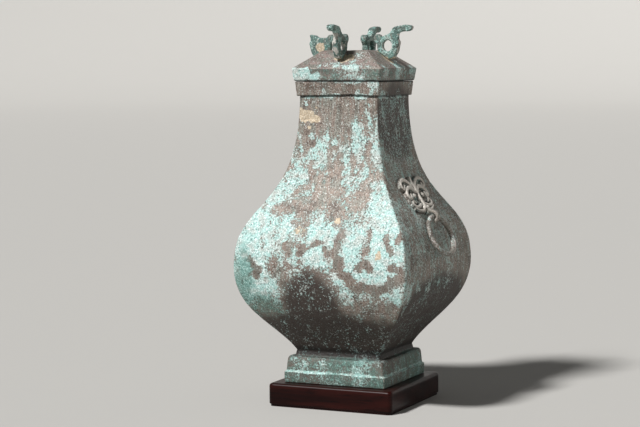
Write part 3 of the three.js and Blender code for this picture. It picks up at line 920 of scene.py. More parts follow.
@dataclass
class JarPatina:
    """Where crust, teal, soil, stains and painted shade lie: as on the real jar in front, and in keeping
    elsewhere.
    """

    jar: JarBody
    ledge_level: float = 41.4

    islands: ClassVar[list[Patch]] = [
        Patch(Side.FRONT, 26, 209, 5, 6),
        Patch(Side.FRONT, 22, 191, 8, 13, -8),
        Patch(Side.FRONT, 29, 176, 7, 13, -22),
        Patch(Side.FRONT, 38, 161, 5, 13, -28),
        Patch(Side.FRONT, 11, 193, 5, 5),
        Patch(Side.FRONT, 58, 191, 6, 7, 10),
        Patch(Side.FRONT, 64, 178, 4, 10, -28),
        Patch(Side.FRONT, 53, 177, 5, 4),
        Patch(Side.FRONT, 52, 152, 12, 6, -10),
        Patch(Side.FRONT, 73, 151, 13, 6),
        Patch(Side.FRONT, 90, 160, 13, 5, -28),
        Patch(Side.FRONT, 98, 174, 7, 5, -30),
        Patch(Side.FRONT, 85, 207, 4, 9, -10),
        Patch(Side.FRONT, 89, 193, 4, 9, -15),
        Patch(Side.FRONT, 99, 211, 4, 8),
        Patch(Side.FRONT, -40, 193, 5, 8),
        Patch(Side.FRONT, -22, 193, 5, 9, 22),
        Patch(Side.FRONT, -6, 200, 9, 4, -18),
        Patch(Side.FRONT, -23, 180, 4, 3),
        Patch(Side.FRONT, -87, 177, 4, 9, -20),
        Patch(Side.FRONT, -81, 163, 6, 9, -25),
        Patch(Side.BACK, -20, 200, 9, 20, 15),
        Patch(Side.BACK, 46, 182, 16, 7, 30),
        Patch(Side.BACK, 8, 168, 6, 14, -20),
        Patch(Side.BACK, -70, 190, 7, 16, 10),
        Patch(Side.LEFT, 50, 188, 8, 18, 20),
        Patch(Side.LEFT, -60, 164, 17, 8, -20),
        Patch(Side.LEFT, 8, 176, 7, 12, -15),
    ]
    bare: ClassVar[list[Patch]] = [
        Patch(Side.FRONT, -20, 243, 32, 18, strength=0.4),
        Patch(Side.FRONT, 5, 252, 16, 26, strength=0.45),
        Patch(Side.FRONT, 46, 266, 6, 22, strength=0.8),
        Patch(Side.FRONT, 36, 246, 12, 10, strength=0.6),
        Patch(Side.FRONT, 0, 357, 46, 13, strength=0.8),
        Patch(Side.FRONT, -42, 332, 10, 22, strength=0.8),
        Patch(Side.FRONT, 8, 330, 12, 24, strength=0.5),
        Patch(Side.FRONT, -4, 282, 13, 16, strength=0.5),
        Patch(Side.FRONT, -10, 380, 46, 8, strength=0.95),
        Patch(Side.RIGHT, 0, 120, 90, 26, strength=0.7),
        Patch(Side.RIGHT, 0, 380, 52, 8, strength=0.7),
        Patch(Side.BACK, 10, 122, 50, 40),
        Patch(Side.BACK, 0, 335, 40, 36, strength=0.6),
        Patch(Side.BACK, 0, 380, 52, 8, strength=0.9),
        Patch(Side.LEFT, -10, 118, 60, 34, strength=0.9),
        Patch(Side.LEFT, 20, 320, 20, 40, strength=0.6),
        Patch(Side.LEFT, 0, 380, 52, 8, strength=0.9),
    ]
    crusted: ClassVar[list[Patch]] = [
        Patch(Side.FRONT, -5, 204, 112, 32),
        Patch(Side.FRONT, -62, 260, 14, 36, 42),
        Patch(Side.FRONT, -84, 226, 26, 16, 30),
        Patch(Side.FRONT, -48, 290, 8, 14, strength=0.9),
        Patch(Side.FRONT, -12, 312, 9, 14, strength=0.8),
        Patch(Side.FRONT, -18, 296, 20, 12, strength=0.6),
        Patch(Side.FRONT, 26, 300, 7, 48, strength=0.75),
        Patch(Side.FRONT, 26, 250, 6, 14, -14, strength=0.8),
        Patch(Side.FRONT, 49, 305, 8, 34),
        Patch(Side.FRONT, 62, 250, 12, 26, -20),
        Patch(Side.FRONT, 76, 228, 26, 20),
        Patch(Side.FRONT, 25, 161, 5, 17, -28),
        Patch(Side.FRONT, 42, 352, 9, 9, strength=0.8),
        Patch(Side.FRONT, 47, 381, 8, 9),
        Patch(Side.FRONT, -88, 164, 24, 44),
        Patch(Side.FRONT, 64, 174, 32, 24),
        Patch(Side.FRONT, 92, 145, 11, 9),
        Patch(Side.FRONT, -64, 136, 18, 22, strength=0.8),
        # Thinner crust on the right face than elsewhere, which with its speckle and stain paints shade on that
        # side
        Patch(Side.RIGHT, 0, 226, 108, 36, strength=0.5),
        Patch(Side.RIGHT, 0, 300, 46, 60, strength=0.45),
        Patch(Side.BACK, 0, 208, 108, 38),
        Patch(Side.BACK, 18, 290, 22, 50, 10, strength=0.8),
        Patch(Side.BACK, -30, 330, 10, 30, strength=0.8),
        Patch(Side.LEFT, 10, 208, 106, 34),
        Patch(Side.LEFT, -22, 300, 16, 50, -6, strength=0.8),
    ]
    speckled: ClassVar[list[Patch]] = [
        Patch(Side.FRONT, -12, 125, 42, 50),
        Patch(Side.FRONT, 0, 96, 84, 22),
        Patch(Side.FRONT, -66, 112, 34, 20, strength=0.8),
        Patch(Side.FRONT, 66, 122, 34, 14, -12, strength=0.7),
        # Speckle over the right face lets dark oxide show: painted shade
        Patch(Side.RIGHT, 0, 112, 100, 36),
        Patch(Side.RIGHT, 0, 330, 60, 46, strength=0.9),
        Patch(Side.RIGHT, 0, 220, 120, 80, strength=0.75),
        Patch(Side.BACK, 0, 100, 90, 22, strength=0.8),
        Patch(Side.LEFT, 0, 100, 90, 22, strength=0.8),
    ]
    teal: ClassVar[list[Patch]] = [
        Patch(Side.FRONT, -98, 156, 15, 46, strength=0.9),
        Patch(Side.FRONT, -76, 124, 30, 18, strength=0.7),
        Patch(Side.FRONT, 92, 145, 11, 9, strength=0.5),
        Patch(Side.FRONT, 60, 120, 44, 12, strength=0.4),
        Patch(Side.RIGHT, 0, 150, 110, 40, strength=0.35),
        Patch(Side.BACK, 20, 130, 90, 30, strength=0.5),
        Patch(Side.LEFT, 0, 135, 100, 30, strength=0.5),
    ]
    soil: ClassVar[list[Patch]] = [
        Patch(Side.FRONT, -39, 350, 11, 9, -6),
        Patch(Side.FRONT, -34, 343, 10, 8),
        Patch(Side.FRONT, 20, 227, 4, 7, strength=0.85),
        Patch(Side.FRONT, 77, 190, 6, 6, strength=0.6),
        Patch(Side.FRONT, -26, 212, 8, 5, strength=0.5),
        Patch(Side.BACK, 24, 345, 10, 8),
        Patch(Side.LEFT, 40, 200, 9, 6, strength=0.7),
    ]
    # Stains: the arch and the small patch on the front are the jar's own; the bands under the belly and the
    # patches on the right face are painted shade
    stains_and_shade: ClassVar[list[Patch]] = [
        Patch(Side.FRONT, -12, 120, 38, 50, strength=0.85),
        Patch(Side.FRONT, 0, 96, 90, 22),
        Patch(Side.FRONT, 66, 150, 24, 7, strength=0.35),
        # Stain over the right face: painted shade
        Patch(Side.RIGHT, 0, 118, 110, 42, strength=0.95),
        Patch(Side.RIGHT, 0, 340, 60, 50, strength=0.7),
        Patch(Side.BACK, 10, 118, 60, 30, strength=0.45),
        Patch(Side.LEFT, -10, 112, 70, 26, strength=0.45),
    ]

    def fields(self, points: np.ndarray) -> tuple[np.ndarray, np.ndarray]:
        """Work out the patina fields, with painted shade among the stains, and the fields of wear and painted
        shade.

        Args:
            points: Places on the jar in metres, shaped (n, 3).

        Returns:
            Crust, teal, soil and stain with painted shade as one array; edge wear and painted shade of
            recesses as the other.
        """
        place = FacePlace.of(points)
        level = place.level
        half = np.maximum(np.abs(points[:, 0]), np.abs(points[:, 1])) / MM
        collar = level - self.jar.neck[1] / MM
        neck = ramp(level, 225, 265)
        foot = ramp(level, 63, 60)

        # Crust, with bare islands, drifts and combed runs, thinner low down and grains only where speckled
        islands = coverage(points, self.islands, 29, 2.4)
        bare = np.maximum(coverage(points, self.bare, 31), islands)
        drifts = cloud(points * [1, 1, 0.4], 30 * MM, 41, 5) - 0.5
        ragged = cloud(points * [1, 1, 0.6], 9 * MM, 45, 3) - 0.5
        combed = cloud(points * [1, 1, 0.3], 8 * MM, 49, 3) - 0.5
        crust = 0.38 + coverage(points, self.crusted, 37, 7.0) * 0.33 + ragged * 0.6
        crust += drifts * (1.15 - 0.45 * neck) + (combed * 1.3 + 0.04) * neck
        crust = np.minimum(crust, 0.8 - 0.2 * neck)
        crust = crust * (1 - bare * 0.85) + 0.08 * bare
        crust *= ramp(level, 74, 120) * 0.3 + 0.7
        speckled = coverage(points, self.speckled, 55, 12.0)
        crust = crust * (1 - speckled) + (0.34 + 0.1 * ramp(level, 120, 200) + ragged * 0.25) * speckled

        # Thicker crust along the foot's ledge and under the collar
        ledge = ramp(np.abs(level - self.ledge_level), 1.6, 0.5) * ramp(drifts, -0.12, 0.08)
        crust = crust * (1 - foot) + (0.35 + drifts * 0.5 + ragged * 0.5 + ledge * 0.4) * foot
        lip = ramp(np.abs(collar + 2.0), 1.9, 0.6)
        crust += lip * ramp(cloud(points, 14 * MM, 57, 3), 0.4, 0.58) * 0.4

        # Teal low on the body and on the foot, soil in spots, and dark stain with painted shade: darker
        # towards the underside and over the right face
        teal = coverage(points, self.teal, 43, 12.0) * 0.8 + ramp(level, 124, 100) * 0.25
        teal = teal * (0.35 + 0.65 * ramp(level, 96, 136)) * (1 - foot) + 0.5 * foot
        teal += (cloud(points, 30 * MM, 47) - 0.5) * 0.6
        soil = coverage(points, self.soil, 53)
        stain_and_shade = np.maximum(coverage(points, self.stains_and_shade, 59, 14.0), islands * 0.32)
        # Painted shade: darker towards the underside all round, then the whole stain eased on the foot
        stain_and_shade = np.maximum(stain_and_shade, ramp(level, 128, 96) * 0.8) * (1 - foot * 0.35)

        # Arrises rubbed in places, and shade at the waist, under the collar and under the lid
        edge = ramp(half - np.abs(place.across), 4.0, 0.5)
        edge *= ramp(cloud(points, 16 * MM, 61, 3), 0.42, 0.6) * 0.5
        painted_shade = ramp(np.abs(level - self.jar.waist[1] / MM + 1), 11, 2) * 0.8
        painted_shade = np.maximum(painted_shade, ramp(np.abs(collar + 0.9), 1.7, 0.4) * 0.85)
        painted_shade = np.maximum(painted_shade, ramp(level, self.jar.rim / MM - 1.8, self.jar.rim / MM - 0.4) * 0.9)
        return fields(crust, teal, soil, stain_and_shade), fields(edge, painted_shade)


@dataclass
class Lid:
    """Hollow hipped lid: a flange inside the mouth, an upright fascia and four slopes to a small flat top."""

    wall: float = 3 * MM
    flange_depth: float = 14 * MM
    flange_wall: float = 2.5 * MM
    flange_half: float = 45.9 * MM
    fascia_height: float = 14.9 * MM
    fascia_flare: float = 2.4 * MM
    roof_angle: float = math.radians(37)
    arris: float = 2.6 * MM
    spacing: float = 1.5 * MM
    per_face: int = 70
    per_corner: int = 6

    # Solder round a finial's root, in millimetres: its middle from the lid's axis, half length, half width
    root_middle: float = 38.5
    root_length: float = 10.0
    root_width: float = 8.0

    crusted: ClassVar[list[Patch]] = [
        Patch(Side.FRONT, -44, 396, 13, 9),
        Patch(Side.FRONT, -9, 409, 8, 2, strength=0.7),
        Patch(Side.FRONT, 34, 405, 14, 2.5, strength=0.4),
        Patch(Side.FRONT, 34, 394, 4, 3, strength=0.8),
        Patch(Side.RIGHT, 6, 408, 10, 4, strength=0.8),
        Patch(Side.BACK, 10, 408, 12, 4, strength=0.8),
        Patch(Side.BACK, -40, 396, 10, 8),
        Patch(Side.LEFT, 30, 395, 12, 8, strength=0.8),
    ]
    soil: ClassVar[list[Patch]] = [
        Patch(Side.FRONT, 9, 414, 5, 5),
    ]

    def __post_init__(self) -> None:
        """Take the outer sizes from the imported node."""
        low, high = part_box("lid")
        self.seat = low[2] + self.flange_depth
        self.eaves = (high[0], self.seat + self.fascia_height)
        self.top = high[2]
        self.plateau = self.eaves[0] - (self.top - self.eaves[1]) / math.tan(self.roof_angle)

    def roof_level(self, radius: float) -> float:
        """Level of the slopes at a distance from the middle of the lid."""
        return self.eaves[1] + math.tan(self.roof_angle) * (self.eaves[0] - radius)

    def section(self) -> np.ndarray:
        """Draw the section from under the flat top, round the flange and fascia and over the slopes.

        Returns:
            Half widths and levels in metres, shaped (n, 2).
        """
        inner = self.flange_half - self.flange_wall
        slope_wall = self.wall / math.cos(self.roof_angle)

        # Half width, level and rounding of each corner
        corners = fillet([
            (POLE_RING, self.top - self.wall, 0),
            (self.plateau - self.wall * math.tan(self.roof_angle / 2), self.top - self.wall, 0),
            (inner, self.roof_level(inner) - slope_wall, 0),
            (inner, self.seat - self.flange_depth, 0),
            (self.flange_half, self.seat - self.flange_depth, 0),
            (self.flange_half, self.seat, 0),
            (self.eaves[0] - self.fascia_flare, self.seat, 1.8 * MM),
            (self.eaves[0], self.eaves[1], 1.3 * MM),
            (self.plateau, self.top, 4 * MM),
            (POLE_RING, self.top, 0),
        ])
        return refine(corners, self.spacing)

    def build(self, finish: bpy.types.Material) -> bpy.types.Object:
        """Make the lid with its patina and hang it on body "jar".

        Args:
            finish: The lid's bronze.

        Returns:
            The finished piece.
        """
        section = self.section()
        lathe = SquareLathe(section, np.full(len(section), self.arris), self.per_face, self.per_corner)
        points, normal, faces = lathe.skin()
        patina, wear_and_painted_light = self.fields(points)
        uneven = (cloud(points, 26 * MM, 71, 3) - 0.5) * 1.1 + (cloud(points, 6 * MM, 73, 3) - 0.5) * 0.5
        shown = ramp(points[:, 2], self.seat, self.seat + 1 * MM)
        points = points + normal * (uneven * shown * MM)[:, None]
        points = np.vstack([points, lathe.poles()])
        patina = np.vstack([patina, patina[:1], patina[-1:]])
        wear_and_painted_light = np.vstack([wear_and_painted_light, wear_and_painted_light[:1], wear_and_painted_light[-1:]])
        made = Surface(points, faces, patina, wear_and_painted_light).to_object("lid_casting", finish)
        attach(made, "jar")
        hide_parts("lid")
        return made

    def fields(self, points: np.ndarray) -> tuple[np.ndarray, np.ndarray]:
        """Work out the lid's patina fields and its fields of wear and painted shade, with solder stains close
        round each finial's root.

        Args:
            points: Places on the lid in metres, shaped (n, 3).

        Returns:
            Crust, teal, soil and stain as one array; edge wear and painted shade where the lid meets the rim
            as the other.
        """
        place = FacePlace.of(points)
        half = np.maximum(np.abs(points[:, 0]), np.abs(points[:, 1])) / MM
        least = np.minimum(np.abs(points[:, 0]), np.abs(points[:, 1])) / MM
        eaves = self.eaves[1] / MM
        fascia = ramp(place.level, eaves + 1, eaves - 1)

        # Solder round the finials' roots, then crust in drifts and patches, beaded along the eaves
        ragged = cloud(points, 7 * MM, 79, 4) - 0.5
        root = np.hypot((half - self.root_middle) / self.root_length, place.across / self.root_width)
        halo = ramp(root + ragged * 1.6, 1.15, 0.85) * (1 - fascia)
        drifts = cloud(points, 20 * MM, 83, 4) - 0.5
        patches = coverage(points, self.crusted, 85, 3.5)
        beading = ramp(np.abs(place.level - eaves - 2), 3, 0.5)
        beading *= ramp(cloud(points, 18 * MM, 87, 3), 0.45, 0.6)
        crust = np.minimum(0.26 + drifts * 1.3 + fascia * 0.24 + beading * 0.3, 0.6) + patches * 0.6
        teal = (fascia * 0.35 + ramp(root, 2.0, 1.1) * 0.3) * (1 - patches) - drifts * 0.6
        soil = np.maximum(halo * 0.75, coverage(points, self.soil, 88))
        stain_and_shade = ramp(cloud(points, 34 * MM, 89), 0.5, 0.75) * 0.35 + fascia * 0.25

        # Hips and eaves rubbed in places, and shade where the lid meets the rim
        broken = ramp(cloud(points, 9 * MM, 93, 3), 0.42, 0.6)
        hip = ramp(half - least, 4, 0.5) * 0.55 * broken
        edge = ramp(np.abs(place.level - eaves), 1.6, 0.3) * 0.5 * broken
        painted_shade = ramp(place.level, self.seat / MM + 2.2, self.seat / MM + 0.2) * 0.95
        return fields(crust, teal, soil, stain_and_shade), fields(np.maximum(hip, edge), painted_shade)


def through(points: list[tuple[float, float]], steps: int) -> np.ndarray:
    """Sample the smooth curve that passes through the points.

    Args:
        points: Places that the curve passes in turn.
        steps: How many stretches the curve is cut into.

    Returns:
        Points along the curve, shaped (steps + 1, 2).
    """
    p = np.array(points, float)
    ends = np.vstack([p[:1], p, p[-1:]])
    at = np.linspace(0, len(p) - 1, steps + 1)
    index = np.minimum(at.astype(int), len(p) - 2)
    t = (at - index)[:, None]
    a, b, c, d = (ends[index + k] for k in range(4))
    out = (c - a) / 2
    into = (d - b) / 2
    return (2 * b - 2 * c + out + into) * t ** 3 + (3 * c - 3 * b - 2 * out - into) * t ** 2 + out * t + b


def baked(obj: bpy.types.Object) -> bpy.types.Mesh:
    """Turn an object with its live modifiers into a plain mesh."""
    graph = bpy.context.evaluated_depsgraph_get()
    return bpy.data.meshes.new_from_object(obj.evaluated_get(graph), depsgraph=graph)


def mesh_arrays(mesh: bpy.types.Mesh) -> tuple[np.ndarray, np.ndarray, list]:
    """Read a mesh.

    Args:
        mesh: The mesh to read.

    Returns:
        Its points and outward directions, both shaped (n, 3), and its faces.
    """
    points = np.empty(len(mesh.vertices) * 3)
    mesh.vertices.foreach_get("co", points)
    normals = np.empty(len(mesh.vertices) * 3)
    mesh.vertices.foreach_get("normal", normals)
    return points.reshape(-1, 3), normals.reshape(-1, 3), [list(face.vertices) for face in mesh.polygons]


@dataclass
class Finial:
    """Upright openwork scroll plate in the middle of one slope: a round eye and an arm that points out."""

    side: Side
    lid: Lid
    broken: bool = False
    radius: float = 42 * MM
    height: float = 40 * MM
    thickness: float = 8 * MM
    edge: float = 1.5 * MM
    gap: float = 0.3 * MM
    hole_width: float = 12.2 * MM
    hole_height: float = 13.6 * MM
    voxel: float = 0.55 * MM
    plug_share: float = 0.32
    plug_radius: float = 6.5 * MM

    # The root's inner and outer end, as shares of the height
    heel: float = -0.26
    toe: float = 0.06

    # Shares of the height: outward, and up from the plate's place on the slope
    inner: ClassVar[list[tuple[float, float]]] = [
        (-0.29, 0.3), (-0.305, 0.43), (-0.4, 0.53), (-0.385, 0.66), (-0.29, 0.715), (-0.21, 0.69),
        (-0.16, 0.625),
    ]
    arm: ClassVar[list[tuple[float, float]]] = [
        (-0.03, 0.69), (0.1, 0.74), (0.21, 0.89), (0.34, 0.95), (0.62, 0.985),
        (0.8, 0.955), (0.82, 0.87), (0.72, 0.8), (0.5, 0.785), (0.39, 0.74), (0.37, 0.64),
    ]
    stub: ClassVar[list[tuple[float, float]]] = [
        (-0.03, 0.62), (0.12, 0.63), (0.24, 0.7), (0.4, 0.71), (0.38, 0.61),
    ]
    outer: ClassVar[list[tuple[float, float]]] = [
        (0.375, 0.56), (0.42, 0.46), (0.385, 0.32), (0.345, 0.17), (0.24, 0.0),
    ]
    hole: ClassVar[tuple[float, float]] = (0.03, 0.365)

    def slope_point(self, share: float) -> list[float]:
        """Place a point of the root just above the slope."""
        fall = math.tan(self.lid.roof_angle) * share
        return [share, self.gap / math.cos(self.lid.roof_angle) / self.height - fall]

    def outline(self) -> np.ndarray:
        """Draw the plate's outline.

        Returns:
            Places outward and up as shares of the height, shaped (n, 2).
        """
        return np.vstack([
            [self.slope_point(self.heel)],
            through(self.inner, 30),
            through(self.stub if self.broken else self.arm, 50),
            through(self.outer, 24),
            [self.slope_point(self.toe)],
        ])

    def plate(self) -> bpy.types.Mesh:
        """Make the plate as one evenly meshed solid in its own plane.

        Returns:
            The mesh, with X outward and Y up.
        """
        curve = bpy.data.curves.new("scroll_outline", "CURVE")
        curve.dimensions = "2D"
        curve.fill_mode = "BOTH"
        curve.bevel_depth = self.edge
        curve.bevel_resolution = 2
        curve.offset = -self.edge
        curve.extrude = self.thickness / 2 - self.edge
        loops = [self.outline() * self.height]
        if not self.broken:
            turn = np.linspace(0, 2 * math.pi, 40, endpoint=False)
            eye = np.stack([self.hole_width / 2 * np.cos(turn), self.hole_height / 2 * np.sin(turn)], axis=1)
            loops.append(eye + np.array(self.hole) * self.height)
        for loop in loops:
            spline = curve.splines.new("POLY")
            spline.points.add(len(loop) - 1)
            places = np.hstack([loop, np.zeros((len(loop), 1)), np.ones((len(loop), 1))])
            spline.points.foreach_set("co", places.ravel())
            spline.use_cyclic_u = True
        flat = bpy.data.objects.new("scroll_outline", curve)
        bpy.context.scene.collection.objects.link(flat)
        solid = bpy.data.objects.new("scroll_solid", baked(flat))
        bpy.context.scene.collection.objects.link(solid)
        remesh = solid.modifiers.new("even", "REMESH")
        remesh.mode = "VOXEL"
        remesh.voxel_size = self.voxel
        even = baked(solid)
        bpy.data.objects.remove(flat)
        bpy.data.objects.remove(solid)
        return even

    def build(self, finish: bpy.types.Material) -> bpy.types.Object:
        """Make the finial, stand it on its slope and hang it on body "jar".

        Args:
            finish: The finial's bronze.

        Returns:
            The finished piece.
        """
        points, normals, faces = mesh_arrays(self.plate())
        seed = 101 + 7 * self.side.value
        uneven = (cloud(points, 8 * MM, seed, 3) - 0.5) * 0.9
        uneven += (cloud(points, 2.5 * MM, seed + 1, 2) - 0.5) * 0.4
        patina, wear_and_painted_light = self.fields(points, normals, seed)
        points = points + normals * (uneven * MM)[:, None]
        base = self.lid.roof_level(self.radius)
        place = np.stack([points[:, 0] + self.radius, -points[:, 2], points[:, 1] + base], axis=1)
        turn = (self.side.value - 1) * math.pi / 2
        spin = np.array([
            [math.cos(turn), -math.sin(turn), 0],
            [math.sin(turn), math.cos(turn), 0],
            [0, 0, 1],
        ])
        side = self.side.name.lower()
        made = Surface(place @ spin.T, faces, patina, wear_and_painted_light).to_object(f"scroll_{side}", finish)
        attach(made, "jar")
        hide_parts(f"finial_{side}")
        return made

    def fields(
        self, points: np.ndarray, normals: np.ndarray, seed: int
    ) -> tuple[np.ndarray, np.ndarray]:
        """Work out the finial's patina and wear fields, with solder at the root and soil in a plugged eye.

        Args:
            points: Places on the plate in its own plane, in metres, shaped (n, 3).
            normals: Outward directions there, in the same shape.
            seed: Fixed number that picks the patterns.

        Returns:
            Crust, teal and soil as one array; edge wear as the other.
        """
        up = points[:, 1] / self.height
        ragged = cloud(points, 5 * MM, seed + 2, 4) - 0.5
        crust = ramp(cloud(points, 9 * MM, seed + 3), 0.4, 0.62) * 0.6
        root = ramp(up + ragged * 0.3, 0.12, -0.08) * 0.8
        eye = np.hypot(
            points[:, 0] - self.hole[0] * self.height, points[:, 1] - self.plug_share * self.height,
        )
        plug = ramp(eye / self.plug_radius + ragged * 0.9, 1.05, 0.85) if self.broken else 0 * up
        teal = 0.3 + ramp(ragged, 0.0, 0.2) * 0.4
        edge = ramp(np.abs(points[:, 2]), 0.3 * self.thickness, 0.5 * self.thickness)
        edge *= ramp(ragged, -0.05, 0.1) * 0.4
        facing = ramp(normals[:, 0], 0.45, 0.85) * ramp(ragged, -0.12, 0.06)
        return fields(crust, teal, np.maximum(root, plug)), fields(np.maximum(edge, 0.7 * facing))


@dataclass
class MaskStroke:
    """One raised stroke of the mask, across and up from the chin, as shares of the mask's width."""

    path: list[tuple[float, float]]
    start_width: float
    end_width: float
    height: float
    mirrored: bool = True


@dataclass
class Mask:
    """Relief mask of a beast on one side face, with the nose hook that carries the ring."""

    side: Side
    jar: JarBody
    width: float = 76 * MM
    rise: float = 63.5 * MM
    ground: float = 1.4 * MM
    relief: float = 5.5 * MM
    ground_height: float = 0.54
    chin_share: float = 0.72
    brow_share: float = 0.9
    root: float = -1.0 * MM
    pitch: float = 0.45 * MM
    ring_bar: float = 6 * MM
    ring_drop: float = 10.5 * MM
    ring_standoff: float = 3 * MM
    hook_bar: float = 3.6 * MM
    hook_width: float = 8 * MM
    hook_clearance: float = 1.4 * MM
    hook_rounding: float = 0.9 * MM
    eyelid_height: float = 1.6 * MM
    stroke_steps: int = 48

    # Shares of the mask's width
    eyelid_radius: float = 0.085
    eyelid_half_width: float = 0.021
    eyeball_radius: float = 0.055
    nostril_radius: float = 0.05

    strokes: ClassVar[list[MaskStroke]] = [
        MaskStroke([
            (0.05, 0.34), (0.16, 0.42), (0.29, 0.41), (0.39, 0.34), (0.39, 0.26), (0.32, 0.24), (0.29, 0.3),
        ], 0.085, 0.06, 0.95),
        MaskStroke([
            (0.08, 0.44), (0.18, 0.53), (0.31, 0.57), (0.43, 0.53), (0.46, 0.45), (0.4, 0.41), (0.35, 0.47),
        ], 0.085, 0.06, 0.85),
        MaskStroke([
            (0.1, 0.11), (0.2, 0.08), (0.32, 0.09), (0.37, 0.14), (0.32, 0.19), (0.26, 0.15),
        ], 0.075, 0.055, 0.8),
        MaskStroke([(0, 0.02), (0.13, 0), (0.26, 0.02), (0.35, 0.06)], 0.08, 0.05, 0.75),
        MaskStroke([(0, 0.48), (0, 0.3), (0, 0.12), (0, -0.03)], 0.06, 0.13, 1.0, False),
        MaskStroke([(0, 0.585), (0, 0.47)], 0.07, 0.16, 0.8, False),
        *[MaskStroke(path, *FINE_STROKE) for path in (
            [(0.03, 0.2), (0.09, 0.155), (0.17, 0.165), (0.25, 0.21), (0.27, 0.28)],
            [(0.2, 0.47), (0.26, 0.485), (0.3, 0.53)],
            [(0.09, 0.38), (0.13, 0.47)],
            [(0.23, 0.41), (0.26, 0.49)],
            [(0.34, 0.39), (0.38, 0.43)],
            [(0.14, 0.02), (0.16, 0.1)],
            [(0.24, 0.03), (0.26, 0.1)],
            [(0.36, 0.13), (0.4, 0.2), (0.4, 0.27)],
            [(0.04, 0.28), (0.08, 0.3), (0.1, 0.26)],
        )],
    ]
    eye: ClassVar[tuple[float, float]] = (0.17, 0.275)
    nostril: ClassVar[tuple[float, float]] = (0.07, 0.04)

    def height_field(self, u: np.ndarray, v: np.ndarray) -> np.ndarray:
        """Find the height of the relief above the metal.

        Args:
            u: Places across the mask from its middle, as shares of its width.
            v: Places up from the chin, as shares of its width.

        Returns:
            Heights in metres, at the root's depth outside the mask.
        """
        share = np.clip(v / self.ground_height, 0, 1)
        half = (self.chin_share + (self.brow_share - self.chin_share) * share) / 2
        inside = np.minimum(np.minimum(half - np.abs(u), v), self.ground_height - v)
        height = np.where(inside > -0.004, self.ground * ramp(inside, -0.004, 0.012), self.root)
        for stroke in self.strokes:
            path = through(stroke.path, self.stroke_steps)
            aside = np.abs(u) if stroke.mirrored else u
            best = np.full(u.shape, 9.0)
            for index, (start, end) in enumerate(zip(path, path[1:])):
                run = end - start
                t = np.clip(((aside - start[0]) * run[0] + (v - start[1]) * run[1]) / (run @ run), 0, 1)
                gap = np.hypot(aside - start[0] - t * run[0], v - start[1] - t * run[1])
                along = ((index + t) / self.stroke_steps) ** 2
                reach = (stroke.start_width + (stroke.end_width - stroke.start_width) * along) / 2
                best = np.minimum(best, gap / reach)
            top = self.relief * stroke.height * np.sqrt(np.clip(1 - best ** 3, 0, 1))
            height = np.where(best < 1, np.maximum(height, top), height)
        aside = np.abs(u)
        eye = np.hypot(aside - self.eye[0], v - self.eye[1])
        lid = np.clip(1 - ((eye - self.eyelid_radius) / self.eyelid_half_width) ** 2, 0, 1)
        top = self.ground + self.eyelid_height * np.sqrt(lid)
        height = np.where(lid > 0, np.maximum(height, top), height)
        ball = np.clip(1 - (eye / self.eyeball_radius) ** 2, 0, 1)
        height = np.where(ball > 0, np.maximum(height, self.relief * np.sqrt(ball)), height)
        nostril = np.hypot(aside - self.nostril[0], v - self.nostril[1])
        nostril = np.clip(1 - (nostril / self.nostril_radius) ** 2, 0, 1)
        return np.where(nostril > 0, np.maximum(height, 1.1 * self.relief * np.sqrt(nostril)), height)

    def on_face(self, across: np.ndarray, up: np.ndarray, out: np.ndarray) -> np.ndarray:
        """Bend flat places onto the right face.

        Args:
            across: Distance across the face from its middle, in metres.
            up: Distance up along the face from the chin, in metres.
            out: Distance out from the metal, in metres.

        Returns:
            The places in metres, with one more axis than the arguments.
        """
        outline = self.jar.outline()
        outline = outline[outline[:, 1] >= self.jar.belly[1]]
        arc = np.concatenate([[0], np.cumsum(np.linalg.norm(np.diff(outline, axis=0), axis=1))])
        chin = np.interp(self.jar.belly[1] + self.rise, outline[:, 1], arc)
        tangent = np.gradient(outline, arc, axis=0)
        at = chin + up
        foot = np.stack([np.interp(at, arc, outline[:, k]) for k in (0, 1)], axis=-1)
        run = np.stack([np.interp(at, arc, tangent[:, k]) for k in (0, 1)], axis=-1)
        run /= np.linalg.norm(run, axis=-1, keepdims=True)
        return np.stack([foot[..., 0] + run[..., 1] * out, across, foot[..., 1] - run[..., 0] * out], axis=-1)

    def turned(self, points: np.ndarray) -> np.ndarray:
        """Turn points from the right face to this mask's own side."""
        return points if self.side is Side.RIGHT else points * [-1, -1, 1]

    def relief_surface(self) -> Surface:
        """Make the mask's relief as one closed mesh, sunk a little into the jar's metal.

        Returns:
            The surface on the mask's own side, with its patina, wear and painted light.
        """
        half = 0.5 * self.width
        across = np.arange(-half, half + self.pitch, self.pitch)
        up = np.arange(-0.06 * self.width, 0.68 * self.width, self.pitch)
        u, v = np.meshgrid(across, up)
        height = self.height_field(u / self.width, v / self.width)
        shown = height > self.root + 0.05 * MM
        cells = shown[:-1, :-1] | shown[1:, :-1] | shown[:-1, 1:] | shown[1:, 1:]
        number = np.arange(u.size).reshape(u.shape)
        flat = np.stack([u.ravel(), v.ravel(), np.zeros(u.size)], axis=1)
        seed = 151 + self.side.value
        rise = height.ravel()
        uneven = (cloud(flat, 9 * MM, seed, 3) - 0.5) * 0.8 + (cloud(flat, 2 * MM, seed + 1, 2) - 0.5) * 0.35
        top = self.on_face(u.ravel(), v.ravel(), rise + uneven * MM * ramp(rise, 0, self.ground))
        under = self.on_face(u.ravel(), v.ravel(), np.full(u.size, self.root))

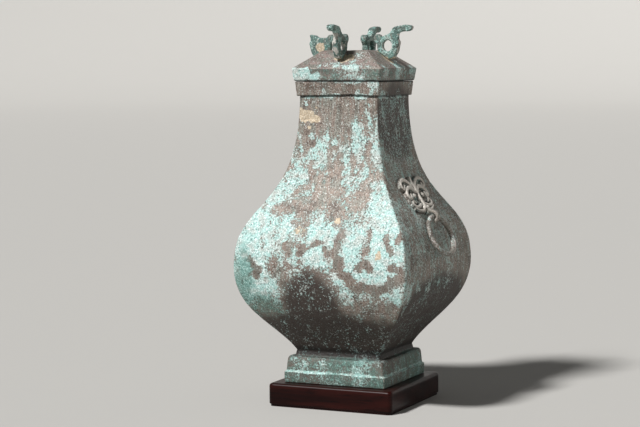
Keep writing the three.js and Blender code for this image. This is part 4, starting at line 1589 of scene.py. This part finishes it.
        # Top and underside, joined by a wall along the edges that only one face has
        corners = np.stack([number[:-1, :-1], number[:-1, 1:], number[1:, 1:], number[1:, :-1]], axis=-1)
        corners = corners[cells]
        faces = corners.tolist() + (corners[:, ::-1] + u.size).tolist()
        rim = {}
        for face in corners.tolist():
            for a, b in zip(face, face[1:] + face[:1]):
                if rim.pop((b, a), None) is None:
                    rim[(a, b)] = True
        faces += [[b, a, a + u.size, b + u.size] for a, b in rim]
        used = np.unique(np.array([i for face in faces for i in face]))
        index = np.full(2 * u.size, -1)
        index[used] = np.arange(len(used))
        faces = [[int(index[i]) for i in face] for face in faces]

        # Raised parts are rubbed and paler, partly a painted highlight, and the ground between them is
        # darkened with painted shade
        high = ramp(rise, 2.8 * MM, 4.6 * MM)
        low = ramp(rise, 2.6 * MM, 1.2 * MM) * ramp(rise, -0.6 * MM, 0.3 * MM)
        crust = ramp(cloud(flat, 12 * MM, seed + 2), 0.45, 0.65) * 0.45
        patina = fields(crust, 0.15 + 0 * crust, 0 * crust, 0.5 * low)
        wear_and_painted_light = fields(0.85 * high, low)
        points = np.vstack([top, under])[used]
        both = [np.vstack([layer, layer])[used] for layer in (patina, wear_and_painted_light)]
        return Surface(self.turned(points), faces, *both)

    def ring_seat(self) -> np.ndarray:
        """Place the middle of the ring's bar where it hangs, before the mask is turned to its side."""
        out = self.ring_bar / 2 + self.ring_standoff
        return self.on_face(np.zeros(1), np.array([-self.ring_drop]), np.array([out]))[0]

    def build(self, finish: bpy.types.Material) -> None:
        """Make the relief and the hook and hang them on body "jar".

        Args:
            finish: The mask's bronze.
        """
        side = self.side.name.lower()
        relief = self.relief_surface().to_object(f"beast_mask_{side}", finish)
        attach(relief, "jar")
        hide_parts(f"mask_{side}")
        hook = self.hook(finish)
        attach(hook, "jar")

    def hook(self, finish: bpy.types.Material) -> bpy.types.Object:
        """Make the flat bar from under the nose, out and down round the ring's bar and back toward the metal.

        Args:
            finish: The hook's bronze.

        Returns:
            The hook, which is not on a body yet.
        """
        reach = self.ring_bar / 2 + self.hook_clearance + self.hook_bar / 2
        turns = np.radians([58, 20, -20, -60, -105])
        nose = [(self.ring_drop + 2 * MM, -self.ring_bar / 2)]
        flat = through(nose + [(reach * math.sin(t), reach * math.cos(t)) for t in turns], 40)
        seat = self.ring_seat()
        step = 0.1 * MM
        ahead = self.on_face(np.zeros(1), np.array([step - self.ring_drop]), np.zeros(1))[0]
        here = self.on_face(np.zeros(1), np.array([-self.ring_drop]), np.zeros(1))[0]
        up = (ahead - here) / np.linalg.norm(ahead - here)
        out = np.array([up[2], 0, -up[0]])
        path = seat + flat[:, :1] * up + flat[:, 1:] * out
        bar = SweptBar(self.hook_width, self.hook_bar, self.hook_rounding)
        mesh = bar.mesh(self.turned(path), False, finish)
        points, normals, faces = mesh_arrays(mesh)
        seed = 171 + self.side.value
        uneven = (cloud(points, 3 * MM, seed, 3) - 0.5) * 0.5 * MM
        crust = ramp(cloud(points, 6 * MM, seed + 1), 0.45, 0.65) * 0.45
        points = points + normals * uneven[:, None]
        surface = Surface(points, faces, fields(crust), fields(0.6 * ramp(uneven, 0, 0.1 * MM)))
        return surface.to_object(f"nose_hook_{self.side.name.lower()}", finish)


@dataclass
class SweptBar:
    """A bar of rounded rectangular section that follows a path, made with Geometry Nodes."""

    thickness: float
    width: float
    rounding: float
    rounding_steps: int = 5
    around: int = 28

    def tree(self) -> bpy.types.GeometryNodeTree:
        """Build the node tree: the path's edges become a curve, which a rounded rectangle follows.

        Returns:
            The tree, with inputs for the path, the section's sizes and the material.
        """
        tree = bpy.data.node_groups.new("swept_bar", "GeometryNodeTree")
        for label, kind in (
            ("Path", "NodeSocketGeometry"), ("Thickness", "NodeSocketFloat"), ("Width", "NodeSocketFloat"),
            ("Rounding", "NodeSocketFloat"), ("Material", "NodeSocketMaterial"),
        ):
            tree.interface.new_socket(label, in_out="INPUT", socket_type=kind)
        tree.interface.new_socket("Bar", in_out="OUTPUT", socket_type="NodeSocketGeometry")
        given = add(tree, "NodeGroupInput").outputs
        path = add(tree, "GeometryNodeMeshToCurve", {"Mesh": given["Path"]}).outputs["Curve"]
        block = add(tree, "GeometryNodeCurvePrimitiveQuadrilateral", {
            "Width": given["Thickness"], "Height": given["Width"],
        }, mode="RECTANGLE").outputs["Curve"]
        rounded = add(tree, "GeometryNodeFilletCurve", {
            "Curve": block, "Radius": given["Rounding"], "Count": self.rounding_steps, "Limit Radius": True,
        }, mode="POLY").outputs["Curve"]
        section = add(tree, "GeometryNodeResampleCurve", {
            "Curve": rounded, "Count": self.around,
        }).outputs["Curve"]
        bar = add(tree, "GeometryNodeCurveToMesh", {
            "Curve": path, "Profile Curve": section, "Fill Caps": True,
        }).outputs["Mesh"]
        smooth = add(tree, "GeometryNodeSetShadeSmooth", {"Geometry": bar}).outputs["Geometry"]
        real = add(tree, "GeometryNodeRealizeInstances", {"Geometry": smooth}).outputs["Geometry"]
        dressed = add(tree, "GeometryNodeSetMaterial", {
            "Geometry": real, "Material": given["Material"],
        }).outputs["Geometry"]
        add(tree, "NodeGroupOutput", {"Bar": dressed})
        return tree

    def mesh(self, path: np.ndarray, closed: bool, material: bpy.types.Material) -> bpy.types.Mesh:
        """Sweep the bar.

        Args:
            path: Points along the bar's middle in metres, shaped (n, 3).
            closed: Whether the bar closes on itself.
            material: What the bar is made of.

        Returns:
            A plain mesh.
        """
        count = len(path)
        edges = [(i, (i + 1) % count) for i in range(count if closed else count - 1)]
        line = bpy.data.meshes.new("bar_path")
        line.from_pydata(path.tolist(), edges, [])
        carrier = bpy.data.objects.new("bar_path", line)
        bpy.context.scene.collection.objects.link(carrier)
        modifier = carrier.modifiers.new("sweep", "NODES")
        modifier.node_group = self.tree()
        values = {
            "Thickness": self.thickness, "Width": self.width, "Rounding": self.rounding, "Material": material,
        }
        for item in modifier.node_group.interface.items_tree:
            if item.in_out == "INPUT" and item.name in values:
                modifier[item.identifier] = values[item.name]
        made = baked(carrier)
        bpy.data.objects.remove(carrier)
        return made


@dataclass
class Ring:
    """Plain round ring that hangs from its mask's hook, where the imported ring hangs."""

    side: Side
    steps: int = 110

    # Painted highlight: a pale patch low on the side away from the front
    highlight_way: ClassVar[tuple[float, float]] = (0.77, -0.64)

    def build(self, finish: bpy.types.Material) -> bpy.types.Object:
        """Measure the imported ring, sweep a worn one in its place and hang it on its own body.

        Args:
            finish: The ring's bronze.

        Returns:
            The finished piece.
        """
        node = f"ring_{self.side.name.lower()}"
        packed, _, _ = mesh_arrays(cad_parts[node].data)
        packed = np.unique(np.round(packed, 6), axis=0)
        middle = (packed.max(axis=0) + packed.min(axis=0)) / 2
        spread = np.linalg.svd(packed - middle, full_matrices=False)[2]
        wide, high = spread[:2]
        flat = np.linalg.norm((packed - middle) @ spread[:2].T, axis=1)
        radius = (flat.max() + flat.min()) / 2
        bar = flat.max() - flat.min()
        turn = np.linspace(0, 2 * math.pi, self.steps, endpoint=False)[:, None]
        path = middle + radius * (np.cos(turn) * wide + np.sin(turn) * high)
        mesh = SweptBar(bar, bar, bar / 2).mesh(path, True, finish)
        points, normals, faces = mesh_arrays(mesh)
        seed = 191 + self.side.value
        worn = np.minimum((cloud(points, 7 * MM, seed, 3) - 0.5) * 0.5 * MM, 0)
        crust = ramp(cloud(points, 10 * MM, seed + 1), 0.45, 0.65) * 0.5
        patina = fields(crust, 0.1 + 0 * crust, 0.25 * ramp(cloud(points, 6 * MM, seed + 2), 0.55, 0.7))
        far_side = 1 if self.side is Side.RIGHT else -1
        away, low = self.highlight_way
        toward = (points - middle) @ np.array([0, away * far_side, low]) / radius
        # Rubbed wear in patches, and the painted highlight low on the side away from the front
        rubbed_and_highlit = np.maximum(0.45 * ramp(cloud(points, 5 * MM, seed + 3), 0.4, 0.6), ramp(toward, 0.72, 0.96))
        wear_and_painted_light = fields(rubbed_and_highlit)
        surface = Surface(points + normals * worn[:, None], faces, patina, wear_and_painted_light)
        made = surface.to_object(f"pull_ring_{self.side.name.lower()}", finish)
        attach(made, node)
        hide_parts(node)
        return made


@dataclass
class Studio:
    """Pale floor, plain soft light and the camera at the photograph's viewing angle."""

    turn: float = math.radians(24.51)
    tilt: float = math.radians(4.61)
    roll: float = math.radians(0.18)
    distance: float = 2214 * MM
    eye_level: float = 406.6 * MM
    side_step: float = -42.4 * MM
    focal_px: float = 1835.0
    floor_reach: float = 16.0
    cove_radius: float = 7.0
    wall_height: float = 12.0
    floor: str = "#b2b0ac"
    floor_rings: tuple[float, float] = (0.4, 3.0)
    floor_steps: int = 96
    cove_steps: int = 12
    paper_roughness: float = 0.95
    paper_gloss: float = 0.1
    key_from: tuple[float, float, float] = (-0.27, -0.62, 0.72)
    key_strength: float = 4.9
    key_spread: float = math.radians(9)
    fill_place: tuple[float, float, float] = (2.4, -1.3, 0.9)
    fill_size: float = 1.6
    fill_power: float = 2.5
    sky: str = "#e8ebee"
    sky_strength: float = 0.12
    view_end: float = 120.0
    middle: tuple[float, float, float] = (0.0, 0.0, 0.22)

    def camera(self) -> None:
        """Put the camera where the photograph was taken from, with the same field of view."""
        right = Vector((math.cos(self.turn), math.sin(self.turn), 0))
        back = Vector((math.sin(self.turn), -math.cos(self.turn), 0))
        data = bpy.data.cameras.new("camera")
        data.sensor_width = SENSOR_WIDTH
        data.lens = SENSOR_WIDTH * self.focal_px / FRAME_WIDTH_PX
        data.clip_end = self.view_end
        made = bpy.data.objects.new("camera", data)
        stand_point = back * self.distance + right * self.side_step + Vector((0, 0, self.eye_level))
        turned = Matrix.Rotation(self.turn, 4, "Z") @ Matrix.Rotation(math.pi / 2 - self.tilt, 4, "X")
        made.matrix_world = Matrix.Translation(stand_point) @ turned @ Matrix.Rotation(-self.roll, 4, "Z")
        bpy.context.scene.collection.objects.link(made)
        bpy.context.scene.camera = made

    def ground(self) -> None:
        """Lay the plain pale floor, which curves up into a round backdrop far behind."""
        reach = self.floor_reach
        cove = self.cove_radius
        section = [(radius, 0.0) for radius in (*self.floor_rings, reach)]
        for t in np.linspace(0, math.pi / 2, self.cove_steps + 1)[1:]:
            section.append((reach + cove * math.sin(t), cove * (1 - math.cos(t))))
        section.append((reach + cove, self.wall_height))
        around = self.floor_steps
        angle = np.arange(around) * 2 * math.pi / around
        rings = [
            np.stack([r * np.cos(angle), r * np.sin(angle), np.full(around, z)], axis=1) for r, z in section
        ]
        faces = []
        for start in range(0, (len(section) - 1) * around, around):
            for j in range(around):
                after = (j + 1) % around
                faces.append((start + around + j, start + around + after, start + after, start + j))
        faces.append(tuple(range(around)))
        mesh = bpy.data.meshes.new("floor")
        mesh.from_pydata(np.vstack(rings).tolist(), [], faces)
        mesh.shade_smooth()
        made = bpy.data.materials.new("matt pale paper")
        made.use_nodes = True
        shader = made.node_tree.nodes["Principled BSDF"]
        shader.inputs["Base Color"].default_value = linear(self.floor)
        shader.inputs["Roughness"].default_value = self.paper_roughness
        shader.inputs["Specular IOR Level"].default_value = self.paper_gloss
        mesh.materials.append(made)
        floor = bpy.data.objects.new("floor", mesh)
        bpy.context.scene.collection.objects.link(floor)

    def lamp(self, name: str, place: tuple[float, float, float], size: float, power: float) -> None:
        """Hang one soft square lamp that looks at the jar's middle.

        Args:
            name: The lamp's name.
            place: Where it hangs, in metres.
            size: Side of the lamp in metres.
            power: Power in watts.
        """
        data = bpy.data.lights.new(name, "AREA")
        data.size = size
        data.energy = power
        made = bpy.data.objects.new(name, data)
        made.location = place
        made.rotation_euler = (Vector(self.middle) - Vector(place)).to_track_quat("-Z", "Y").to_euler()
        bpy.context.scene.collection.objects.link(made)

    def light(self) -> None:
        """Set the sky's even light, the broad far key light and the weak fill."""
        world = bpy.data.worlds.new("studio")
        world.use_nodes = True
        sky = world.node_tree.nodes["Background"]
        sky.inputs["Color"].default_value = linear(self.sky)
        sky.inputs["Strength"].default_value = self.sky_strength
        bpy.context.scene.world = world
        data = bpy.data.lights.new("key", "SUN")
        data.energy = self.key_strength
        data.angle = self.key_spread
        key = bpy.data.objects.new("key", data)
        key.rotation_euler = Vector(self.key_from).to_track_quat("Z", "Y").to_euler()
        bpy.context.scene.collection.objects.link(key)
        self.lamp("fill", self.fill_place, self.fill_size, self.fill_power)

    def build(self) -> None:
        """Set up the whole studio."""
        self.camera()
        self.ground()
        self.light()
        bpy.context.scene.view_settings.view_transform = "Standard"


def main() -> None:
    """Build the studio and the dressed pieces."""
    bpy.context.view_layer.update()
    Studio().build()
    Stand().build(LacqueredHardwood().material())
    jar = JarBody()
    jar.build(CastBronze("crusted cast bronze").material())
    lid = Lid()
    lid.build(CastBronze(
        "brown cast bronze", oxide="#8f7e77", oxide_dark="#6b5c55", edge_mm=4.0, grit_mm=2.0,
    ).material())
    scrolls = CastBronze(
        "green cast bronze", oxide="#58736d", oxide_grey="#6d716a", oxide_dark="#2e3b36", crust="#84aaa2",
        worn="#b7b2ab", crust_warm="#979d94", edge_mm=3.5, grit_mm=1.8, speck_mm=1.3,
    ).material()
    for side in Side:
        Finial(side, lid, broken=side is Side.LEFT).build(scrolls)
    # The masks' worn colour paints the rubbed ridges and their painted highlight
    handled = CastBronze(
        "handled cast bronze", oxide="#918980", oxide_dark="#57504b", worn="#d2ccc3", edge_mm=3.0,
        grit_mm=1.8, speck_mm=1.3,
    ).material()
    # The rings' worn colour paints rubbed patches and the painted highlight
    rubbed_and_highlit = CastBronze(
        "rubbed and highlit cast bronze", oxide="#857c73", oxide_dark="#4f4843", worn="#dccfca", edge_mm=4.0,
        grit_mm=1.8, speck_mm=1.3,
    ).material()
    for side in (Side.RIGHT, Side.LEFT):
        Mask(side, jar).build(handled)
        Ring(side).build(rubbed_and_highlit)


if __name__ == "__main__":
    main()
